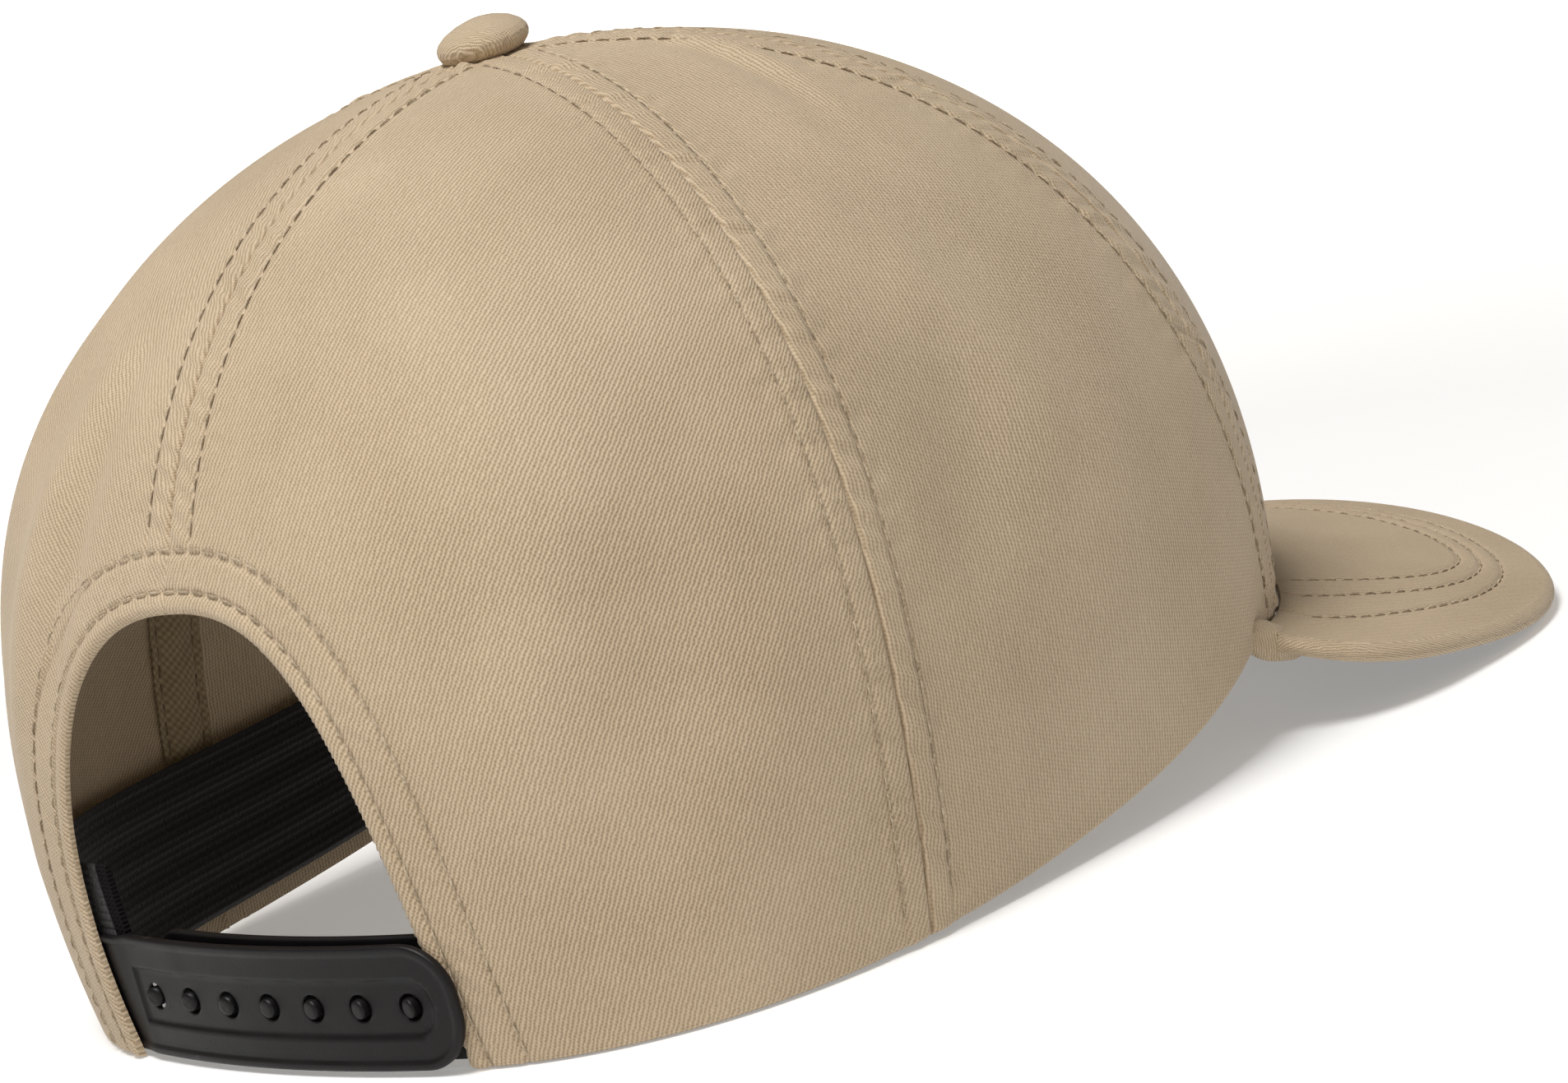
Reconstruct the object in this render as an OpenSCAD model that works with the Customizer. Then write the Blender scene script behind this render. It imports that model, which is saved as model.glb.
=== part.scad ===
// Five-panel cotton cap with a curved brim and a plastic snap strap over a rear arch.
// +X points forward along the brim, +Y to the wearer's left, +Z up. The cap stands on z = 0.

/* [Crown] */
// Height of the crown under the button
crown_h = 131.5; // [120:0.5:140]
// Reach of the base edge in front of the origin
crown_front = 100; // [94:1:106]
// Reach of the base edge behind the origin
crown_back = 95; // [90:1:102]
// Half of the crown's width at the base edge
crown_half_w = 78; // [74:1:82]
// Thickness of the twill panels
twill_t = 0.7; // [0.5:0.1:1.2]

/* [Brim] */
// Reach of the brim in front of the crown
brim_reach = 56; // [50:1:66]
// Half of the brim's width
brim_half_w = 86; // [80:1:92]
// Downward pitch of the brim in degrees
brim_pitch = 9.7; // [6:0.1:14]
// Sideways curve of the brim, drop in millimetres per square millimetre
brim_curve = 0.0026; // [0.002:0.0001:0.003]
// Thickness of the stiff board inside the brim
board_t = 1.6; // [1.2:0.1:2.2]
// Thickness of the cloth on each side of the board
brim_cloth_t = 0.6; // [0.4:0.1:0.9]

/* [Rear arch] */
// Half of the arch's width at the base edge
arch_half_w = 36; // [30:1:40]
// Height of the arch above the base edge
arch_h = 68; // [60:1:76]

/* [Snap strap] */
// Height of both strap halves
strap_h = 19; // [16:0.5:22]
// Thickness of both strap halves
strap_t = 1.4; // [1.2:0.1:1.8]
// Number of pegs, and of holes
peg_count = 7; // [6:1:8]
// Distance from one peg to the next
peg_pitch = 9.5; // [8.5:0.1:9.6]
// Diameter of a peg
peg_d = 3.0; // [2.6:0.1:3.2]
// Diameter of a hole
hole_d = 4.1; // [3.9:0.1:4.6]

/* [Button] */
// Diameter of the covered button
button_d = 14; // [12:0.5:16]
// Height of the covered button
button_h = 5; // [4:0.5:6]

/* [Sweatband] */
// Height of the band inside the base edge
band_h = 31; // [26:1:36]
// Thickness of the band
band_t = 1.0; // [0.8:0.1:1.5]

/* [Hidden] */

cloth_colour = [0.66, 0.59, 0.48];
lining_colour = [0.45, 0.39, 0.31];
dark_colour = [0.09, 0.08, 0.09];
plastic_colour = [0.13, 0.12, 0.13];
metal_colour = [0.70, 0.70, 0.72];

// Crown shape: superellipse exponents of the base oval, and the seams' angles about the button axis
button_x = -8;
front_round = 2.6;
back_round = 3.1;
front_seam_a = 41;
side_seam_a = 111;
// How far each seam bows sideways at its middle, in degrees
seam_bow = 4.6;
brim_corner_a = 47;
// The base edge lies on the table as far forward as flat_to, then rises to the brim's corner
flat_to = -90;
edge_power = 3;
// Sideways lean of the back seam at its middle
seam_lean = 6;
// Panels stop short of the button axis, round the prong's hole
top_t = 0.985;

// Layers, as depths inside the outer face of the crown
layer_gap = 0.3;
lining_out = twill_t + layer_gap;
lining_in = lining_out + 0.4;
tab_out = twill_t + layer_gap;
tab_in = tab_out + strap_t;
band_out = tab_in + layer_gap;
band_in = band_out + band_t;

// Base oval seen from above: radius from the button axis at angle a
function oval_r(a, r = 90, pass = 0) = pass == 12 ? r :
    let (
        x = button_x + r * cos(a),
        y = r * sin(a),
        reach = x > 0 ? crown_front : crown_back,
        power = x > 0 ? front_round : back_round,
        ratio = pow(pow(abs(x / reach), power) + pow(abs(y / crown_half_w), power), 1 / power)
    ) oval_r(a, r * (1 + 0.95 * (1 / ratio - 1)), pass + 1);

// Corner where the brim leaves the crown
corner_r = oval_r(brim_corner_a);
corner_x = button_x + corner_r * cos(brim_corner_a);
corner_y = corner_r * sin(brim_corner_a);

// Brim outline, from the right corner (s = -1) through the tip (s = 0) to the left corner (s = 1)
brim_tip = crown_front + brim_reach;
brim_wide_x = corner_x + 26;
brim_power = 2.7;
brim_turn = 0.78;
corner_tab = 3;
function brim_outline(s) =
    let (
        side = s < 0 ? -1 : 1,
        k = abs(s),
        a = 90 * k / brim_turn,
        b = 90 * (k - brim_turn) / (1 - brim_turn)
    ) k < brim_turn
    ? [brim_wide_x + (brim_tip - brim_wide_x) * pow(cos(a), 2 / brim_power),
        side * brim_half_w * pow(sin(a), 2 / brim_power)]
    : [brim_wide_x - (brim_wide_x - corner_x) * sin(b),
        side * (corner_y + corner_tab + (brim_half_w - corner_y - corner_tab) * cos(b))];

// Middle surface of the brim, high enough that its lowest underside touches the table
cloth_in = board_t / 2 + 0.1;
cloth_out = cloth_in + brim_cloth_t;
function brim_drop(x, y) = tan(brim_pitch) * (x - crown_front) + brim_curve * y * y;
front_edge_h = cloth_out + max([for (s = [0:0.02:1]) let (p = brim_outline(s)) brim_drop(p[0], p[1])]);
function brim_z(x, y) = front_edge_h - brim_drop(x, y);
corner_z = brim_z(corner_x, corner_y);

// Height of the crown's base edge
function edge_z(x, y) = x > corner_x ? brim_z(x, y)
    : corner_z * pow(max(0, (x - flat_to) / (corner_x - flat_to)), edge_power);

// Crown profile: a cubic curve from the button axis (t = 1) to the base edge (t = 0)
function top_reach(a) = 0.608 - 0.034 * cos(a) - 0.009 * cos(2 * a);
function top_rise(a) = 0.01 * cos(a);
function side_height(a) = 0.652 - 0.019 * cos(a) + 0.009 * cos(2 * a);
side_bulge = 0.115;
// Sideways shift of the crown's back at a height z
function lean_at(a, z) = pow(max(0, -cos(a)), 2) * seam_lean * 4 * (z / crown_h) * (1 - z / crown_h);

function crown_point(a, t) =
    let (
        r = oval_r(a),
        z0 = edge_z(button_x + r * cos(a), r * sin(a)),
        s = 1 - t,
        b0 = t * t * t,
        b1 = 3 * s * t * t,
        b2 = 3 * s * s * t,
        b3 = s * s * s,
        rho = r * (b1 * top_reach(a) + b2 * (1 + side_bulge) + b3),
        z = crown_h * (b0 + b1 * (1 + top_rise(a))) + b2 * (z0 + side_height(a) * (crown_h - z0)) + b3 * z0
    ) [button_x + rho * cos(a), rho * sin(a) + lean_at(a, z), z];

// Point at a depth inside the outer face; the hem itself stays level
function skin(a, t, depth) =
    let (
        step = 0.01,
        t1 = min(t, 1 - 2 * step),
        across = crown_point(a + 0.5, t1) - crown_point(a - 0.5, t1),
        up = crown_point(a, t1 + step) - crown_point(a, max(0, t1 - step)),
        n = cross(across, up),
        inward = -n / norm(n),
        p = crown_point(a, t) + depth * inward
    ) t < 0.001 ? [p[0], p[1], crown_point(a, t)[2]] : p;

// Closed solid between two grids of points that have the same rows and columns
module sheet_solid(outer, inner) {
    rows = len(outer);
    cols = len(outer[0]);
    count = rows * cols;
    points = concat([for (row = outer) each row], [for (row = inner) each row]);
    function at(i, j) = i * cols + j;
    outer_faces = [for (i = [0:rows - 2], j = [0:cols - 2]) each [
        [at(i, j), at(i + 1, j), at(i + 1, j + 1)],
        [at(i, j), at(i + 1, j + 1), at(i, j + 1)]
    ]];
    inner_faces = [for (f = outer_faces) [count + f[2], count + f[1], count + f[0]]];
    rim = concat(
        [for (j = [0:cols - 2]) at(0, j)],
        [for (i = [0:rows - 2]) at(i, cols - 1)],
        [for (j = [cols - 1:-1:1]) at(rows - 1, j)],
        [for (i = [rows - 1:-1:1]) at(i, 0)]
    );
    rim_faces = [for (k = [0:len(rim) - 1])
        let (p = rim[k], q = rim[(k + 1) % len(rim)]) each [[p, q, count + q], [p, count + q, count + p]]];
    polyhedron(points, concat(outer_faces, inner_faces, rim_faces), convexity = 6);
}

// Layer of the crown over a grid of [angle, t] pairs
module crown_layer(grid, out, in) {
    sheet_solid(
        [for (row = grid) [for (q = row) skin(q[0], q[1], out)]],
        [for (row = grid) [for (q = row) skin(q[0], q[1], in)]]
    );
}

// Rows of a panel between two seams, from the hem to the top
panel_rows = 18;
function panel_grid(a0, a1, cols, bow0 = 0, bow1 = 0, t0 = 0, t1 = top_t, rows = panel_rows) =
    [for (i = [0:rows])
        let (t = t0 + (t1 - t0) * i / rows, bow = 4 * t * (1 - t), left = a0 + bow0 * bow, right = a1 + bow1 * bow)
        [for (j = [0:cols]) [left + (right - left) * j / cols, t]]];

// [angle, t] on the crown where the arch's edge passes; side is 1 left, -1 right; k runs hem to top
arch_power = 2.5;
function arch_find(y, z, side, a, t, pass = 0) = pass == 16 ? [side * a, t] :
    let (p = crown_point(a, t), off = p[1] - lean_at(a, p[2]) - y)
    arch_find(y, z, side, min(180, a + off * 0.5), max(0, t + (z - p[2]) / crown_h * 0.5), pass + 1);
function arch_at(k, side, grow = 0) =
    let (
        y = (arch_half_w + grow) * pow(cos(90 * k), 2 / arch_power),
        z = (arch_h + grow) * pow(sin(90 * k), 2 / arch_power)
    ) k <= 0 ? [side * (180 - asin((arch_half_w + grow) / oval_r(158))), 0]
    : arch_find(y, z, side, 180 - asin(y / 100), z / crown_h * 0.5);

// A back panel's grid fans out from the arch to the side seam and the top
fan_rows = 26;
fan_cols = 10;
fan_turn = 18 / 26;
function fan_outer(k, side) =
    let (t = top_t * min(1, k / fan_turn), seam = side_seam_a - seam_bow * 4 * t * (1 - t))
    k < fan_turn ? [side * seam, t] : [side * (seam + (180 - seam) * (k - fan_turn) / (1 - fan_turn)), t];
function fan_grid(side) = [for (i = [0:fan_rows])
    let (k = i / fan_rows, edge = arch_at(k, side), far = fan_outer(k, side))
    [for (j = [0:fan_cols])
        let (v = side > 0 ? 1 - j / fan_cols : j / fan_cols) edge * (1 - v) + far * v]];

// Narrow tape behind a seam, from the hem up to t1
tape_half_w = 5.5;
tape_rows = 16;
function tape_half_a(a, t) = asin(tape_half_w / norm([crown_point(a, t)[0] - button_x, crown_point(a, t)[1]]));
function tape_grid(a, bow, t0, t1) = [for (i = [0:tape_rows])
    let (t = t0 + (t1 - t0) * i / tape_rows, seam = a + bow * 4 * t * (1 - t), w = tape_half_a(seam, t))
    [for (j = [-1:1]) [seam + j * w, t]]];
tape_top_t = 0.9;
module seam_tape(a, bow, t0 = 0.02) {
    color(lining_colour) crown_layer(tape_grid(a, bow, t0, tape_top_t), lining_out, lining_in);
}

module front_panel() {
    grid = panel_grid(-front_seam_a, front_seam_a, 16, -seam_bow, seam_bow);
    color(cloth_colour) crown_layer(grid, 0, twill_t);
}
module side_panel_right() {
    grid = panel_grid(-side_seam_a, -front_seam_a, 12, seam_bow, -seam_bow);
    color(cloth_colour) crown_layer(grid, 0, twill_t);
}
module side_panel_left() {
    grid = panel_grid(front_seam_a, side_seam_a, 12, seam_bow, -seam_bow);
    color(cloth_colour) crown_layer(grid, 0, twill_t);
}
module back_panel_right() { color(cloth_colour) crown_layer(fan_grid(-1), 0, twill_t); }
module back_panel_left() { color(cloth_colour) crown_layer(fan_grid(1), 0, twill_t); }

module front_buckram() {
    edge_a = front_seam_a - 7.5;
    grid = panel_grid(-edge_a, edge_a, 12, -seam_bow, seam_bow, 0.02, 0.7, 14);
    color("gainsboro") crown_layer(grid, lining_out, lining_in);
}
module front_seam_tape_right() { seam_tape(-front_seam_a, -seam_bow); }
module front_seam_tape_left() { seam_tape(front_seam_a, seam_bow); }
module side_seam_tape_right() { seam_tape(-side_seam_a, seam_bow); }
module side_seam_tape_left() { seam_tape(side_seam_a, -seam_bow); }

// The facing follows the arch from just above one strap to just above the other
facing_w = 12;
facing_start = 0.24;
facing_steps = 18;
facing_ks = [for (i = [0:facing_steps]) facing_start + (1 - facing_start) * i / facing_steps];
facing_path = concat(
    [for (k = facing_ks) [k, -1]],
    [for (i = [facing_steps - 1:-1:0]) [facing_ks[i], 1]]
);
// The same point of the arch with its angle counted on past 180 degrees on the left side
function unwrap(q) = [q[0] > 0 ? q[0] - 360 : q[0], q[1]];
module arch_facing() {
    grid = [for (grow = [facing_w, facing_w / 2, 0.4])
        [for (p = facing_path) unwrap(arch_at(p[0], p[1], grow))]];
    color(lining_colour) crown_layer(grid, lining_out, lining_in);
}
module back_seam_tape() {
    seam_tape(180, 0, arch_at(1, 1, facing_w + 1)[1]);
}

// Sweatband: the left end reaches the arch, the right end leaves room for the strap's flexing root
band_end_left = 159;
band_end_right = 150;
band_cols = 52;
binding_span = 2;
band_t0 = 0.012;
band_t1 = band_h / (3 * 0.68 * crown_h) * 1.05;
function band_grid(a0, a1, cols) = panel_grid(a0, a1, cols, 0, 0, band_t0, band_t1, 4);
module sweatband() {
    color(dark_colour) crown_layer(band_grid(-band_end_right, band_end_left, band_cols), band_out, band_in);
}
module sweatband_binding(a0) {
    color(dark_colour) crown_layer(band_grid(a0, a0 + binding_span, 1), band_out + 0.1, band_in + 0.2);
}
module sweatband_binding_right() { sweatband_binding(-band_end_right - binding_span); }
module sweatband_binding_left() { sweatband_binding(band_end_left); }

// Sideways unit vector out of the outline
function brim_out(s) =
    let (d = brim_outline(min(1, s + 0.004)) - brim_outline(max(-1, s - 0.004))) [d[1], -d[0]] / norm(d);
// Rear edge of the brim, just clear of the crown's outer face
brim_gap = 0.5;
function brim_rear(s) =
    let (a = s * brim_corner_a, r = oval_r(a) + brim_gap) [button_x + r * cos(a), r * sin(a)];

brim_cols = 44;
brim_rows = 6;
function brim_row(v, out, lift) = [for (j = [0:brim_cols])
    let (
        s = -1 + 2 * j / brim_cols,
        edge = brim_outline(s) + out * brim_out(s),
        p = brim_rear(s) * (1 - v) + edge * v
    ) [p[0], p[1], brim_z(p[0], p[1]) + lift]];
function brim_sheet(out, lift) = [for (i = [0:brim_rows]) brim_row(i / brim_rows, out, lift)];

board_inset = 1.3;
module brim_board() {
    color("white") sheet_solid(brim_sheet(-board_inset, board_t / 2), brim_sheet(-board_inset, -board_t / 2));
}
// Cloth over one face of the board, turned round the board's edge as far as the middle
module brim_cloth(side) {
    skin_out = concat(brim_sheet(-0.7, side * cloth_out), [brim_row(1, -0.15, side * cloth_out * 0.7),
        brim_row(1, 0, side * 0.05)]);
    skin_in = concat(brim_sheet(-1.2, side * cloth_in), [brim_row(1, -0.95, side * cloth_in * 0.7),
        brim_row(1, -0.7, side * 0.05)]);
    if (side > 0) sheet_solid(skin_out, skin_in);
    else sheet_solid(skin_in, skin_out);
}
module brim_top_cloth() { color(cloth_colour) brim_cloth(1); }
module brim_under_cloth() { color(dark_colour) brim_cloth(-1); }

// Button on the crown's top, tilted with the cloth under it
button_tilt = -8;
button_lift = 0.9;
module at_button() {
    translate([button_x, 0, crown_h]) rotate([0, button_tilt, 0]) children();
}
module dome(d, h, base) {
    edge = h * 0.42;
    rotate_extrude($fn = 64) {
        translate([0, base]) square([d / 2 - edge, h * 0.55]);
        translate([d / 2 - edge, base + edge]) circle(edge, $fn = 48);
        translate([0, base + edge]) square([d / 2 - edge, h * 0.3]);
        intersection() {
            crown_r = (d * d / 4 + h * h * 0.3) / (h * 1.1);
            translate([0, base + h - crown_r]) circle(crown_r, $fn = 96);
            translate([0, base + edge]) square([d / 2 - edge * 0.9, h]);
        }
    }
}
button_cloth_t = 0.8;
module button_shell() {
    color(metal_colour) at_button() difference() {
        dome(button_d - 2 * button_cloth_t - 0.2, button_h - 1.4, button_lift + 0.5);
        translate([0, 0, button_lift]) cylinder(h = 2.2, r = 2, $fn = 32);
    }
}
module button_cover() {
    color(cloth_colour) at_button() difference() {
        dome(button_d, button_h, button_lift);
        dome(button_d - 2 * button_cloth_t, button_h - 1.2, button_lift + 0.4);
        translate([0, 0, button_lift - 1]) cylinder(h = 2, r = button_d / 2 - 2.6, $fn = 48);
    }
}
prong_r = 1.2;
washer_drop = 2.6;
module button_prong() {
    color(metal_colour) at_button() {
        translate([0, 0, -washer_drop - 1]) cylinder(h = washer_drop + 1 + button_lift + 2.1, r = prong_r, $fn = 32);
        translate([0, 0, -washer_drop - 1.2]) cylinder(h = 0.6, r = 2.2, $fn = 32);
    }
}
module button_washer() {
    color(metal_colour) at_button() translate([0, 0, -washer_drop - 0.5]) difference() {
        cylinder(h = 0.5, r = 5.5, $fn = 48);
        translate([0, 0, -1]) cylinder(h = 3, r = prong_r + 0.05, $fn = 32);
    }
}

// Snap strap: two flat arcs on one centre, each flexing about an upright line near its sewn end
strap_radius = 186;
strap_mid_z = strap_h / 2 + 0.6;
strap_spacing = 3.9;
hinge_left_y = arch_half_w - 3.2;
hinge_right_y = arch_half_w + 3;
holed_tip_y = -arch_half_w - 2;
peg_tip_y = arch_half_w - 5.5;
peg_shift = -0.9;
tip_round = 8;
slack_left = 0.2;
slack_right = 0.35;
// How much more upright the straps stand than the crown's hem
strap_upright = 1.6;

// Where the crown's outer face is at a sideways distance y and a height z
function rear_find(y, z, side) = arch_find(y, z, side, 180 - asin(y / 100), z / crown_h * 0.5);
function rear_x(y, z, side) = let (q = rear_find(y, z, side)) crown_point(q[0], q[1])[0];
left_x = rear_x(hinge_left_y, strap_mid_z, 1) + lining_out + strap_t / 2 + slack_left;
right_x = rear_x(arch_half_w, strap_mid_z, -1) - 0.4 - strap_t / 2 - slack_right;
span = hinge_left_y + arch_half_w;
strap_skew = atan((left_x - right_x) / span);
sagitta = strap_radius - sqrt(strap_radius * strap_radius - span * span / 4);
strap_x = (left_x * arch_half_w + right_x * hinge_left_y) / span - sagitta;
hem_lean = atan((rear_x(arch_half_w, 1, -1) - rear_x(arch_half_w, strap_h, -1)) / (strap_h - 1));
strap_lean = hem_lean - strap_upright;

module at_strap() {
    translate([strap_x, 0, strap_mid_z]) rotate([0, -strap_lean, 0]) rotate([0, 0, -strap_skew]) children();
}
// Turns children, drawn along +X, to leave the arc's centre towards the sideways distance y
module at_arc(y) {
    translate([strap_radius, 0, 0]) rotate([0, 0, 180 - asin(y / strap_radius)]) children();
}
// Upright ring on the arcs' centre, cut to length by a tongue
module ring(r0, r1) {
    translate([strap_radius, 0, -strap_h / 2]) difference() {
        cylinder(h = strap_h, r = r1, $fn = 360);
        translate([0, 0, -1]) cylinder(h = strap_h + 2, r = r0, $fn = 360);
    }
}
// Flat shape with a rounded tip at y_tip, running to y_end; swept along X
module tongue(y_tip, y_end, h, r) {
    dir = y_end > y_tip ? 1 : -1;
    turn_y = y_tip + dir * r;
    translate([-20, 0, 0]) rotate([90, 0, 90]) linear_extrude(40) {
        translate([min(turn_y, y_end), -h / 2]) square([abs(y_end - turn_y), h]);
        translate([min(y_tip, turn_y + dir), -h / 2 + r]) square([r + 1, h - 2 * r + 0.001]);
        for (side = [-1, 1]) translate([turn_y, side * (h / 2 - r)]) circle(r, $fn = 64);
    }
}
module knuckle(r_arc, y) {
    at_arc(y) translate([r_arc, 0, -strap_h / 2 + 1]) cylinder(h = strap_h - 2, r = strap_t / 2, $fn = 32);
}
peg_ys = [for (i = [0:peg_count - 1]) peg_shift + (i - (peg_count - 1) / 2) * peg_pitch];

rim_w = 1.6;
face_depth = 0.3;
channel_depth = 0.6;
module holed_strap() {
    r_out = strap_radius + strap_t / 2;
    color(plastic_colour) at_strap() {
        difference() {
            intersection() {
                ring(strap_radius - strap_t / 2, r_out);
                tongue(holed_tip_y, hinge_left_y, strap_h, tip_round);
            }
            intersection() {
                ring(r_out - face_depth, r_out + 2);
                tongue(holed_tip_y + rim_w, hinge_left_y + 3, strap_h - 2 * rim_w, tip_round - rim_w);
            }
            intersection() {
                ring(r_out - channel_depth, r_out + 2);
                tongue(holed_tip_y + 4.2, hinge_left_y + 3, strap_h * 0.46, strap_h * 0.23 - 0.01);
            }
            for (y = peg_ys) at_arc(y) translate([strap_radius - 4, 0, 0]) rotate([0, 90, 0])
                cylinder(h = 8, r = hole_d / 2, $fn = 48);
        }
        knuckle(strap_radius, hinge_left_y);
    }
}
module peg(h) {
    chamfer = 0.3;
    rotate_extrude($fn = 48)
        polygon([[0, 0], [peg_d / 2, 0], [peg_d / 2, h - chamfer], [peg_d / 2 - chamfer, h], [0, h]]);
}
module peg_strap() {
    r_mid = strap_radius - strap_spacing;
    r_top = strap_radius + strap_t / 2 - channel_depth + 0.1;
    color(plastic_colour) at_strap() {
        intersection() {
            ring(r_mid - strap_t / 2, r_mid + strap_t / 2);
            tongue(peg_tip_y, -hinge_right_y * r_mid / strap_radius, strap_h, tip_round);
        }
        for (y = peg_ys) at_arc(y) translate([r_mid, 0, 0]) rotate([0, 90, 0]) peg(r_top - r_mid);
        knuckle(r_mid, -hinge_right_y);
    }
}

// Sewn ends of the straps, lying against the inside of the back panels
tab_len = 13;
tab_cols = 5;
tab_zs = [0.8, strap_h * 0.35, strap_h * 0.7, strap_h];
tab_clear = strap_t / 2 + 0.9;
// Angle near which both tabs lie, for the lean that keeps their ends upright
tab_a = 155;
module strap_tab(y0, side) {
    grid = [for (z = tab_zs) [for (j = [0:tab_cols])
        let (k = side > 0 ? 1 - j / tab_cols : j / tab_cols)
        rear_find(y0 + tab_len * k - side * lean_at(tab_a, z), z, side)]];
    color(plastic_colour) crown_layer(grid, tab_out, tab_in);
}
module holed_strap_tab() { strap_tab(hinge_left_y + tab_clear, 1); }
module peg_strap_tab() { strap_tab(hinge_right_y + tab_clear, -1); }

front_panel();
side_panel_right();
side_panel_left();
back_panel_right();
back_panel_left();
front_buckram();
front_seam_tape_right();
front_seam_tape_left();
side_seam_tape_right();
side_seam_tape_left();
back_seam_tape();
arch_facing();
sweatband();
sweatband_binding_right();
sweatband_binding_left();
brim_board();
brim_top_cloth();
brim_under_cloth();
button_shell();
button_cover();
button_prong();
button_washer();
holed_strap();
holed_strap_tab();
peg_strap();
peg_strap_tab();
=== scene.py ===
"""Khaki five-panel cap with a snap strap, seen from behind and to the wearer's right.

Lengths in the shape functions are millimetres, and meshes are scaled to metres when they are made.
+X runs forward along the brim, +Y to the wearer's left, +Z up.
"""

import math

import bpy
import numpy as np
from mathutils import Matrix, Vector
from mathutils.geometry import delaunay_2d_cdt


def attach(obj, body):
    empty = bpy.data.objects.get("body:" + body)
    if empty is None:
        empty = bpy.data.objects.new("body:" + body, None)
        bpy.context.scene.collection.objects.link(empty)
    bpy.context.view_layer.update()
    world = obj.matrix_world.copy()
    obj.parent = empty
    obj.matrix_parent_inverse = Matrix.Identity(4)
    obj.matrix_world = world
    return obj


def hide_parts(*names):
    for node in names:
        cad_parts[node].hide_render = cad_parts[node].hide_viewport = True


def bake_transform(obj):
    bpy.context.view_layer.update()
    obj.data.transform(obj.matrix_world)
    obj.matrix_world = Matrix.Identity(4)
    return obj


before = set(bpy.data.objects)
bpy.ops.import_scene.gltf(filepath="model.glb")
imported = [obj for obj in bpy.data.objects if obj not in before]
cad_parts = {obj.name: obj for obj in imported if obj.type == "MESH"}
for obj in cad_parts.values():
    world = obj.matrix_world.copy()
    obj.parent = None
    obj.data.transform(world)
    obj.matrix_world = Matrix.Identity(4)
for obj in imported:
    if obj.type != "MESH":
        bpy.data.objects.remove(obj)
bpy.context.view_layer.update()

MM = 0.001

# ------------ dimensions shared with the CAD part

CROWN_H = 131.5
CROWN_FRONT = 100.0
CROWN_BACK = 95.0
CROWN_HALF_W = 78.0
TWILL_T = 0.7
BRIM_REACH = 56.0
BRIM_HALF_W = 86.0
BRIM_PITCH = math.radians(9.7)
BRIM_CURVE = 0.0026
BOARD_T = 1.6
BRIM_CLOTH_T = 0.6
ARCH_HALF_W = 36.0
ARCH_H = 68.0
STRAP_H = 19.0
STRAP_T = 1.4
PEG_COUNT = 7
PEG_PITCH = 9.5
PEG_D = 3.0
HOLE_D = 4.1
BUTTON_X = -8.0
FRONT_ROUND = 2.6
BACK_ROUND = 3.1
FRONT_SEAM = 41.0
SIDE_SEAM = 111.0
SEAM_BOW = 4.6
CORNER_A = 47.0
FLAT_TO = -90.0
EDGE_POWER = 3.0
SEAM_LEAN = 6.0
TOP_T = 0.985
SIDE_BULGE = 0.115
ARCH_POWER = 2.5

# ------------ crown surface


def cosd(a):
    return np.cos(np.radians(a))


def sind(a):
    return np.sin(np.radians(a))


def oval_r(a):
    """Radius of the base oval from the button axis, at angle a in degrees."""
    r = np.full(np.shape(a), 90.0)
    for _ in range(12):
        x = BUTTON_X + r * cosd(a)
        y = r * sind(a)
        reach = np.where(x > 0, CROWN_FRONT, CROWN_BACK)
        power = np.where(x > 0, FRONT_ROUND, BACK_ROUND)
        ratio = (np.abs(x / reach) ** power + np.abs(y / CROWN_HALF_W) ** power) ** (1 / power)
        r = r * (1 + 0.95 * (1 / ratio - 1))
    return r


CORNER_R = float(oval_r(np.array(CORNER_A)))
CORNER_X = BUTTON_X + CORNER_R * cosd(CORNER_A)
CORNER_Y = CORNER_R * sind(CORNER_A)
BRIM_TIP = CROWN_FRONT + BRIM_REACH
BRIM_WIDE_X = CORNER_X + 26.0
BRIM_POWER = 2.7
BRIM_TURN = 0.78
CORNER_TAB = 3.0
CLOTH_IN = BOARD_T / 2 + 0.1
CLOTH_OUT = CLOTH_IN + BRIM_CLOTH_T


def brim_outline(s):
    """Plan outline of the brim, from the right corner (-1) through the tip (0) to the left (1)."""
    side = np.where(s < 0, -1.0, 1.0)
    k = np.abs(s)
    a = np.minimum(90 * k / BRIM_TURN, 90)
    b = 90 * np.maximum(k - BRIM_TURN, 0) / (1 - BRIM_TURN)
    front_x = BRIM_WIDE_X + (BRIM_TIP - BRIM_WIDE_X) * np.abs(cosd(a)) ** (2 / BRIM_POWER)
    front_y = BRIM_HALF_W * np.abs(sind(a)) ** (2 / BRIM_POWER)
    rear_x = BRIM_WIDE_X - (BRIM_WIDE_X - CORNER_X) * sind(b)
    rear_y = CORNER_Y + CORNER_TAB + (BRIM_HALF_W - CORNER_Y - CORNER_TAB) * cosd(b)
    front = k < BRIM_TURN
    return np.stack([np.where(front, front_x, rear_x), side * np.where(front, front_y, rear_y)], -1)


def brim_drop(x, y):
    return math.tan(BRIM_PITCH) * (x - CROWN_FRONT) + BRIM_CURVE * y * y


HALF_EDGE = brim_outline(np.arange(0, 1.001, 0.02))
FRONT_EDGE_H = CLOTH_OUT + float(brim_drop(HALF_EDGE[:, 0], HALF_EDGE[:, 1]).max())


def brim_z(x, y):
    return FRONT_EDGE_H - brim_drop(x, y)


CORNER_Z = float(brim_z(CORNER_X, CORNER_Y))


def edge_z(x, y):
    rear = np.maximum(0, (x - FLAT_TO) / (CORNER_X - FLAT_TO)) ** EDGE_POWER
    return np.where(x > CORNER_X, brim_z(x, y), CORNER_Z * np.minimum(rear, 1))


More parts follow.
